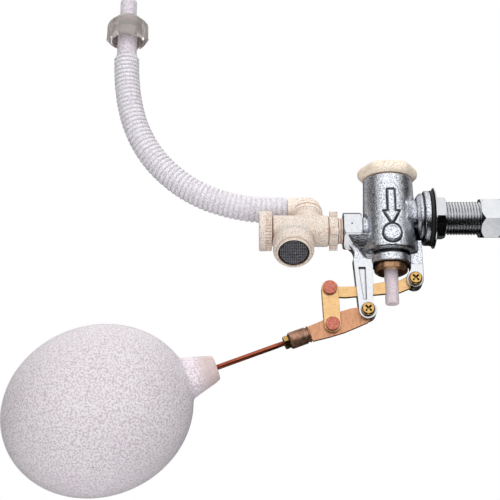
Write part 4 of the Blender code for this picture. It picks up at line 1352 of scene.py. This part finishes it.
def make_screen():
    """Woven wire disc over a black disc with a thin rim, painted shade that stands in for the dark bore behind the
    mesh.
    """
    pitch = 1.15
    weave = 0.13
    reach = int(SCREEN_R / pitch)
    mesh_data = bmesh.new()
    for way in range(2):
        for index in range(-reach, reach + 1):
            offset = index * pitch
            half = math.sqrt(SCREEN_R ** 2 - offset ** 2)
            steps = max(4, int(half * 2 / pitch * 4))
            points = []
            for step in range(steps + 1):
                run = -half + 2 * half * step / steps
                wave = weave * math.cos(math.pi * (run / pitch + index + way))
                spot = (offset, run, wave) if way else (run, offset, wave)
                points.append(Vector(spot))
            add_skin(mesh_data, wire(points))
    height = PORT_REACH - 1.35
    screen = to_object(mesh_data, PORT @ Matrix.Translation((0, 0, height)))
    # Painted shade: a black disc in place of the dark bore seen through the mesh.
    shade_disc = lathed([(0, height - 0.9), (9.3, height - 0.9), (9.3, height + 0.3), (SCREEN_R, height + 0.3),
                      (SCREEN_R, height - 0.3), (0, height - 0.3)], 0.05, PORT)
    crisp(screen, 45)
    set_piece(shade_disc, "bore_shade_disc", "bore_shade_black", "black_mesh")
    set_piece(screen, "woven_screen", "black_wire", "black_mesh", "port_screen")


def make_union_nut():
    """Coupling nut of the tee with four rounded lugs, and the thin ring beside it."""
    left, right = span("tee_union_nut", 0)
    nut = turned([(0, left), (9.0, left), (9.2, left + 0.3), (9.2, right - 0.3), (9.0, right), (0, right)],
                 OUTLET, 72)
    for quarter in range(4):
        angle = math.radians(20 + 90 * quarter)
        out = Vector((0, -math.cos(angle), -math.sin(angle)))
        around = axes((0, 0, SPOUT_Z), AXIS_X, out.cross(AXIS_X))
        joined(nut, block((left + 0.5, -1.9, 7), (right, 1.9, 12.2), around))
    inner = SPIGOT_R + GAP
    cut(nut, rod(7.9, left - 1, -60.3, OUTLET, 60), rod(inner, -61, right + 1, OUTLET, 48))
    set_piece(soften(nut, 0.4), "lugged_nut", "tee_cream", "cream_plastic", "tee_union_nut")
    left, right = span("spout_washer", 0)
    collar = lathed([(inner, left), (8.1, left), (8.1, left + 1.2), (7.4, left + 1.4), (7.4, right - 1.3),
                     (8.1, right - 1.1), (8.1, right), (inner, right)], 0.25, OUTLET)
    set_piece(collar, "spout_ring", "tee_cream", "cream_plastic", "spout_washer")


def knob_radius(radius, height, share):
    """Fine rounded ribs round the inner half of the knob."""
    if height < KNOB_LEFT + 4.0 or radius < KNOB_R - 0.25:
        return radius
    fade = min(1.0, (height - KNOB_LEFT - 4.0) / 0.5)
    return radius - 0.75 * fade * (0.5 - 0.5 * math.cos(2 * math.pi * KNOB_RIBS * share)) ** 0.7


def make_knob():
    """Ribbed knob with a dished face and a hole for its spindle."""
    left, right = KNOB_LEFT, KNOB_RIGHT
    outer = rounded([(0, left + 0.9), (7.4, left + 0.9, 0.6), (8.6, left, 0.5), (KNOB_R, left, 1.2),
                     (KNOB_R, left + 3.9, 0.05), (KNOB_R, left + 4.2, 0.05), (KNOB_R, left + 4.6, 0.05),
                     (KNOB_R, right - 0.5, 0.05), (KNOB_R - 0.5, right, 0.1), (0, right)], 0.2, 5)
    knob = turned(outer, OUTLET, 288, knob_radius)
    cut(knob, rod(3.3, left + 3, right + 1, OUTLET))
    set_piece(crisp(knob, 40), "ribbed_knob", "tee_cream", "cream_plastic", "flow_knob", body="knob")


def make_elbow():
    """Swivel elbow with two collar grooves and a leg towards the hose."""
    base = 13.2
    dome = turned([(0, base), (9.6, base), (9.9, base + 0.4), (9.9, base + 2.6), (8.8, base + 2.9),
                   (8.8, base + 3.6), (9.8, base + 3.9), (9.8, base + 5.8), (8.7, base + 6.1),
                   (8.7, base + 6.8), (9.3, base + 7.1), (8.8, base + 9.6),
                   (7.4, base + 12.0), (4.8, base + 13.8), (2.2, base + 14.5), (0, base + 14.6)], ELBOW, 80)
    leg = turned([(0, ELBOW_X), (8.2, ELBOW_X), (7.7, -84), (7.4, -88.5), (7.3, -90.0), (0, -90.0)],
                 HOSE_LINE, 64)
    joined(dome, leg)
    cut(dome, rod(TEE_BORE_R, base - 2, 17.6, ELBOW), rod(4.2, 17, ELBOW_REACH, ELBOW),
        rod(4.2, -95, ELBOW_X, HOSE_LINE))
    melted(dome, 0.27, 3)
    dome.data.shade_smooth()
    set_piece(dome, "swivel_elbow", "elbow_cream", "cream_plastic", "hose_elbow")


# ---- levers, rivets and screws
def make_upper_lever():
    """Brass lever from the short lug, through the stem's slot, to the upper rivet."""
    outline = arc((PIVOT_B.x, PIVOT_B.z), LEVER_EYE_R, -115, 140, 36)
    outline += [(-21.5, -41.0), (-34.0, -42.6), (-47.5, -45.1)]
    outline += arc((PIVOT_C.x, PIVOT_C.z), LEVER_TIP_R, 20, 262, 36)
    outline += [(-55.4, -52.2), (-34.2, -50.2), (-21.9, -49.0)]
    lever = plate(outline, -PLATE_HALF, PLATE_HALF, SIDE)
    cut(lever, pin_hole(PIVOT_B, SCREW_SHANK_R), rod(LEVER_HOLE_R, -3, 3, pin_axis(PIVOT_C)))
    soften(lever, 0.3)
    set_piece(lever, "pressed_lever", "lever_brass", "lever_brass", "upper_lever", body="lever")


def make_link_bar(name, node, low, high):
    """Brass link with round ends between the two rivets."""
    run = Vector((PIVOT_D.x - PIVOT_C.x, PIVOT_D.z - PIVOT_C.z))
    turn = math.degrees(math.atan2(run.y, run.x))
    outline = arc((PIVOT_D.x, PIVOT_D.z), LINK_EYE_R, turn - 90, turn + 90, 32)
    outline += arc((PIVOT_C.x, PIVOT_C.z), LINK_EYE_R, turn + 90, turn + 270, 32)
    bar = plate(outline, low, high, SIDE)
    cut(bar, pin_hole(PIVOT_C, RIVET_SHANK_R), pin_hole(PIVOT_D, RIVET_SHANK_R))
    set_piece(soften(bar, 0.28), name, "lever_brass", "lever_brass", node, body="link")


def make_rivet(name, node, place):
    """Rivet with a low-domed head at each end, hammered slightly out of round."""
    inner = LINK_OUT + GAP
    outer = inner + 1.9
    half = [(RIVET_SHANK_R, inner), (RIVET_HEAD_R, inner, 0.15), (RIVET_HEAD_R, outer - 0.08, 0.25),
            (RIVET_HEAD_R * 0.6, outer - 0.02, 0.3), (0, outer)]
    mirrored = [(point[0], -point[1], *point[2:]) for point in reversed(half)]

    def hammered(radius, height, share):
        if radius < RIVET_HEAD_R - 0.9:
            return radius
        return radius * (1 + 0.012 * math.sin(2 * math.pi * share * 3 + place.x))

    rivet = turned(rounded(mirrored + half, 0.1, 5), pin_axis(place), 64, hammered)
    set_piece(crisp(rivet), name, "rivet_copper", "copper", node, body="link")


def make_screw(name, node, place):
    """Pan-head screw with a cross recess."""
    seat = CHEEK_OUT + GAP
    face = seat + SCREW_HEAD
    profile = rounded([(0, 4.0), (SCREW_SHANK_R, 4.0, 0.4), (SCREW_SHANK_R, -seat),
                       (SCREW_HEAD_R - 0.1, -seat, 0.2), (SCREW_HEAD_R, -face + 0.8, 0.35),
                       (SCREW_HEAD_R - 0.7, -face + 0.1, 0.35), (1.2, -face), (0, -face)], 0.1, 5)
    screw = turned(profile, pin_axis(place), 72)
    cut(screw, cross_recess(place, face))
    set_piece(soften(screw, 0.12, 2, 40), name, "turned_brass", "brass", node)


def cross_recess(place, face):
    """Cross of two wedge-shaped bars, deeper in the middle, to cut a screw's head."""
    bars = []
    for turn in (45, 135):
        angle = math.radians(turn)
        bar = Vector((math.cos(angle), 0, math.sin(angle)))
        matrix = axes((place.x, -face, place.z), bar, AXIS_Y)
        outline = [(-2.6, -1.0), (2.6, -1.0), (2.5, 0.5), (1.1, 2.4), (-1.1, 2.4), (-2.5, 0.5)]
        bars.append(plate(outline, -CROSS_HALF, CROSS_HALF, matrix))
    return joined(*bars)


# ---- float arm, rod and float
def make_float_arm():
    """Bronze arm from the long fork into the socket's slot."""
    outline = arc((0, 0), LEVER_EYE_R, 250, 50, 40)
    outline += [(8.5, 5.2), (15.7, 5.6), (21.5, 5.0), (27.6, 4.1), (SOCKET[0] - GAP, 3.6)]
    outline += [(SOCKET[0] - GAP, 3.2), (SOCKET[0] + 5.9, 3.0), (SOCKET[0] + 5.9, -4.8),
                (SOCKET[0] - GAP, -5.2), (SOCKET[0] - GAP, -6.0)]
    outline += [(27.4, -7.1), (17.9, -7.6), (9.9, -7.2), (2.5, -6.7)]
    arm = plate(outline, -PLATE_HALF, PLATE_HALF, ARM)
    cut(arm, pin_hole(PIVOT_A, SCREW_SHANK_R), pin_hole(PIVOT_D, RIVET_SHANK_R))
    set_piece(soften(arm, 0.25), "bronze_arm", "brown_bronze", "bronze", "float_arm", body="arm")


def make_socket():
    """Turned socket with a slot for the arm, a shoulder groove and a bored end."""
    low, high = SOCKET
    groove_r = SOCKET_R - 0.6
    profile = rounded([(0, low), (SOCKET_R, low, 0.4), (SOCKET_R, low + 0.9, 0.1), (groove_r, low + 1.1, 0.1),
                       (groove_r, low + 2.1, 0.1), (SOCKET_R, low + 2.3, 0.1), (SOCKET_R, high - 0.9, 0.2),
                       (SOCKET_R - 0.9, high, 0.2), (0, high)], 0.1)
    socket = turned(profile, ROD, 80)
    cut(socket, block((low - 2, -8, -SLOT_HALF), (low + 6.3, 8, SLOT_HALF), ARM),
        rod(ROD_R + GAP, low + 5.5, high + 2, ROD))
    soften(socket, 0.15, 2, 35)
    set_piece(socket, "slotted_socket", "dark_bronze", "bronze", "rod_socket", body="arm")
    low = SOCKET[1] + GAP
    high = SOCKET[1] + 3.2
    corner = ROD_NUT_FLATS / math.sqrt(3)
    nut = plate(hexagon(ROD_NUT_FLATS, 30), low, high, ROD)
    shared(nut, turned([(0, low - 0.1), (corner - 0.4, low - 0.1), (corner + 0.1, low + 0.5),
                        (corner + 0.1, high - 0.5), (corner - 0.4, high + 0.1), (0, high + 0.1)], ROD, 72))
    cut(nut, rod(ROD_R + GAP, low - 1, high + 1, ROD))
    set_piece(soften(nut, 0.12), "rod_nut", "turned_brass", "brass", "rod_lock_nut", body="arm")


def rod_thread(radius, height, share):
    """Fine thread cut at the socket end of the rod."""
    if radius != ROD_R or height > SOCKET[1] + 7.5:
        return radius
    phase = (height / ROD_PITCH - share) % 1.0
    return ROD_R - 0.16 * (0.5 + 0.5 * math.cos(2 * math.pi * phase))


def make_rod():
    """Copper rod, threaded where it enters the socket."""
    low, high = SOCKET[0] + 6.7, NECK_END + 22
    profile = [(0, low), (ROD_R - 0.2, low)]
    height = low + 0.2
    while height < SOCKET[1] + 8:
        profile.append((ROD_R, height))
        height += 0.1
    profile += [(ROD_R, high - 0.4), (ROD_R - 0.4, high), (0, high)]
    piece = turned(profile, ROD, 24, rod_thread)
    set_piece(crisp(piece, 45), "copper_rod", "rod_copper", "copper", "float_rod", body="arm")


def float_point(angle, depth):
    """Radius and distance along the rod of a point on the float's outline, or at a depth below it."""
    return ((FLOAT_WIDE - depth) * math.sin(angle), FLOAT_CENTRE - (FLOAT_LONG - depth) * math.cos(angle))


def make_float():
    """Blown float: thin hollow shell, fillet to the neck and an open throat round the rod."""
    bore = ROD_R + GAP
    steps = 64
    outer = [(NECK_R - 1.8, NECK_END), (NECK_R - 0.9, NECK_END + 0.2), (NECK_R - 0.3, NECK_END + 0.7),
             (NECK_R, NECK_END + 1.6), (8.6, 101.5), (9.7, 105.5), (10.8, 109.5), (11.9, 113.5),
             (12.6, 115.8), (13.1, 116.9)]
    start = math.asin(14.6 / FLOAT_WIDE)
    for step in range(steps):
        outer.append(float_point(start + (math.pi - start) * step / steps, 0.0))
    outer.append((0, FLOAT_CENTRE + FLOAT_LONG))
    inner = []
    start = math.asin(bore / (FLOAT_WIDE - FLOAT_WALL))
    for step in range(steps):
        inner.append(float_point(start + (math.pi - start) * step / steps, FLOAT_WALL))
    inner.append((0, FLOAT_CENTRE + FLOAT_LONG - FLOAT_WALL))
    profile = [(bore, NECK_END)] + outer + inner[::-1]
    piece = turned(profile, ROD, 160)

    def moulding_mark(point, normal):
        reach = (point - MOULD_PIP).length
        return normal * (-0.5 * math.exp(-(reach / 1.4) ** 2))

    moved_points(piece, moulding_mark)
    set_piece(crisp(piece, 40), "blown_float", "float_plastic", "float_plastic", "float_ball", body="arm")


# ---- hidden pieces keep their CAD shape
HIDDEN = {
    "black_rubber": ["cap_o_ring", "valve_disc", "piston_o_ring", "supply_packing", "spigot_o_ring"],
    "turned_brass": ["valve_seat", "spindle_bush"],
    "stem_plastic": ["flow_spindle"],
}


def finish_hidden():
    """Give the pieces inside their own materials."""
    for finish, nodes in HIDDEN.items():
        for node in nodes:
            mesh = frame["nodes"][node].data
            mesh.materials.clear()
            mesh.materials.append(FINISH[finish])


# ---- floor, light and background
def make_floor():
    data = bmesh.new()
    bmesh.ops.create_circle(data, cap_ends=True, segments=96, radius=FLOOR_R)
    floor = to_object(data, Matrix.Translation((0, 0, FLOOR_Z)), "floor")
    floor.data.materials.append(floor_paper())
    floor.visible_glossy = False
    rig.stage(floor)


# Soft rectangular lights aimed at the middle of the part: place, width and height, power.
LIGHT_TARGET = Vector((-90, 0, 0))
PANELS = {
    "key": ((350, -900, 900), (700, 500), 6.0),
    "front_fill": ((-700, -900, 250), (500, 700), 1.5),
    "back_top": ((-100, 700, 900), (900, 500), 4.8),
    "under_fill": ((-100, -300, -430), (700, 500), 0.8),
}


def make_lights():
    for name, (place, (width, height), power) in PANELS.items():
        data = bpy.data.lights.new(name, "AREA")
        data.shape = "RECTANGLE"
        data.size = width * MM
        data.size_y = height * MM
        data.energy = power
        light = bpy.data.objects.new(name, data)
        light.location = Vector(place) * MM
        light.visible_glossy = False
        light.rotation_euler = (LIGHT_TARGET - Vector(place)).to_track_quat("-Z", "Y").to_euler()
        bpy.context.scene.collection.objects.link(light)


# Brightness of the world from straight down (0) through the horizon (0.5) to straight up (1).
WORLD_STOPS = [(0.0, 0.9), (0.014, 0.9), (0.03, 0.002), (0.37, 0.002), (0.395, 0.75), (0.6, 1.05),
               (0.85, 0.9), (1.0, 0.7)]
WORLD_STRENGTH = 1.2


def dimmed(tree, value, low, high, rest):
    """Full brightness up to low, falling smoothly to the rest at high."""
    inputs = {"Value": value, "From Min": low, "From Max": high, "To Min": 1.0, "To Max": rest}
    return add_node(tree, "MapRange", inputs, interpolation_type="SMOOTHSTEP").outputs["Result"]


def make_world():
    """White to the eye; dark bands round the horizon give the metal its contrast."""
    world = bpy.data.worlds.new("studio")
    bpy.context.scene.world = world
    world.use_nodes = True
    tree = world.node_tree
    tree.nodes.clear()
    place = add_node(tree, "TexCoord", {}).outputs["Generated"]
    split = add_node(tree, "SeparateXYZ", {"Vector": place}).outputs
    height = add_node(tree, "MapRange", {"Value": split["Z"], "From Min": -1.0, "From Max": 1.0})
    ramp = add_node(tree, "ValToRGB", {"Fac": height.outputs["Result"]})
    for position, value in WORLD_STOPS[1:-1]:
        ramp.color_ramp.elements.new(position)
    for element, (position, value) in zip(ramp.color_ramp.elements, WORLD_STOPS):
        element.color = (value, value, value, 1)
    size = add_node(tree, "Math", {0: split["X"]}, operation="ABSOLUTE").outputs["Value"]
    sides = dimmed(tree, size, 0.57, 0.86, 0.015)
    behind = dimmed(tree, split["Y"], 0.5, 0.88, 0.04)
    both = add_node(tree, "Math", {0: sides, 1: behind}, operation="MULTIPLY").outputs["Value"]
    shown = add_node(tree, "Mix", {"Factor": 1.0, 6: ramp.outputs["Color"], 7: both},
                     data_type="RGBA", blend_type="MULTIPLY").outputs[2]
    lit = add_node(tree, "Background", {"Color": shown, "Strength": WORLD_STRENGTH})
    seen = add_node(tree, "Background", {"Color": (1, 1, 1, 1), "Strength": 1.0})
    path = add_node(tree, "LightPath", {})
    mix = add_node(tree, "MixShader", {0: path.outputs["Is Camera Ray"], 1: lit.outputs["Background"],
                                       2: seen.outputs["Background"]})
    add_node(tree, "OutputWorld", {"Surface": mix.outputs["Shader"]})
    bpy.context.scene.view_settings.view_transform = "Standard"


# ---- the whole scene
make_camera()
hose, hose_centres, hose_length = make_hose()
fittings = hose_fittings()
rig.cord(hose, exit=hose_centres[0], length=hose_length, diameter=2 * HOSE_R * MM, far_end="fitting",
        stiffness="stiff", lay="loose", path=hose_centres, with_pieces=list(fittings))
make_casting()
make_shank()
make_spout()
make_fork()
make_lug()
make_cap()
make_bush()
make_stem()
shank_ring("shank_gasket", "wall_gasket", GASKET_R, GASKET_FACE, 0.0, 0.5, "black_rubber")
shank_ring("steel_washer", "wall_washer", WASHER_R, GAP, 1.1, 0.25, "bright_chrome")
make_nuts()
make_tee()
make_screen()
make_union_nut()
make_knob()
make_elbow()
make_upper_lever()
make_link_bar("front_link", "link_bar_front", SLOT_HALF, LINK_OUT)
make_link_bar("rear_link", "link_bar_rear", -LINK_OUT, -SLOT_HALF)
make_rivet("upper_rivet", "rivet_upper", PIVOT_C)
make_rivet("lower_rivet", "rivet_lower", middle_of("rivet_lower"))
make_screw("arm_screw", "float_arm_screw", PIVOT_A)
make_screw("lever_screw", "upper_lever_screw", PIVOT_B)
make_float_arm()
make_socket()
make_rod()
make_float()
finish_hidden()
make_floor()
make_lights()
make_world()
with open("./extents.json", "w") as size_file:
    json.dump({"cad": [list(corner) for corner in CAD_BOX],
               "visual": [list(corner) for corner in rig.bounds()]}, size_file)
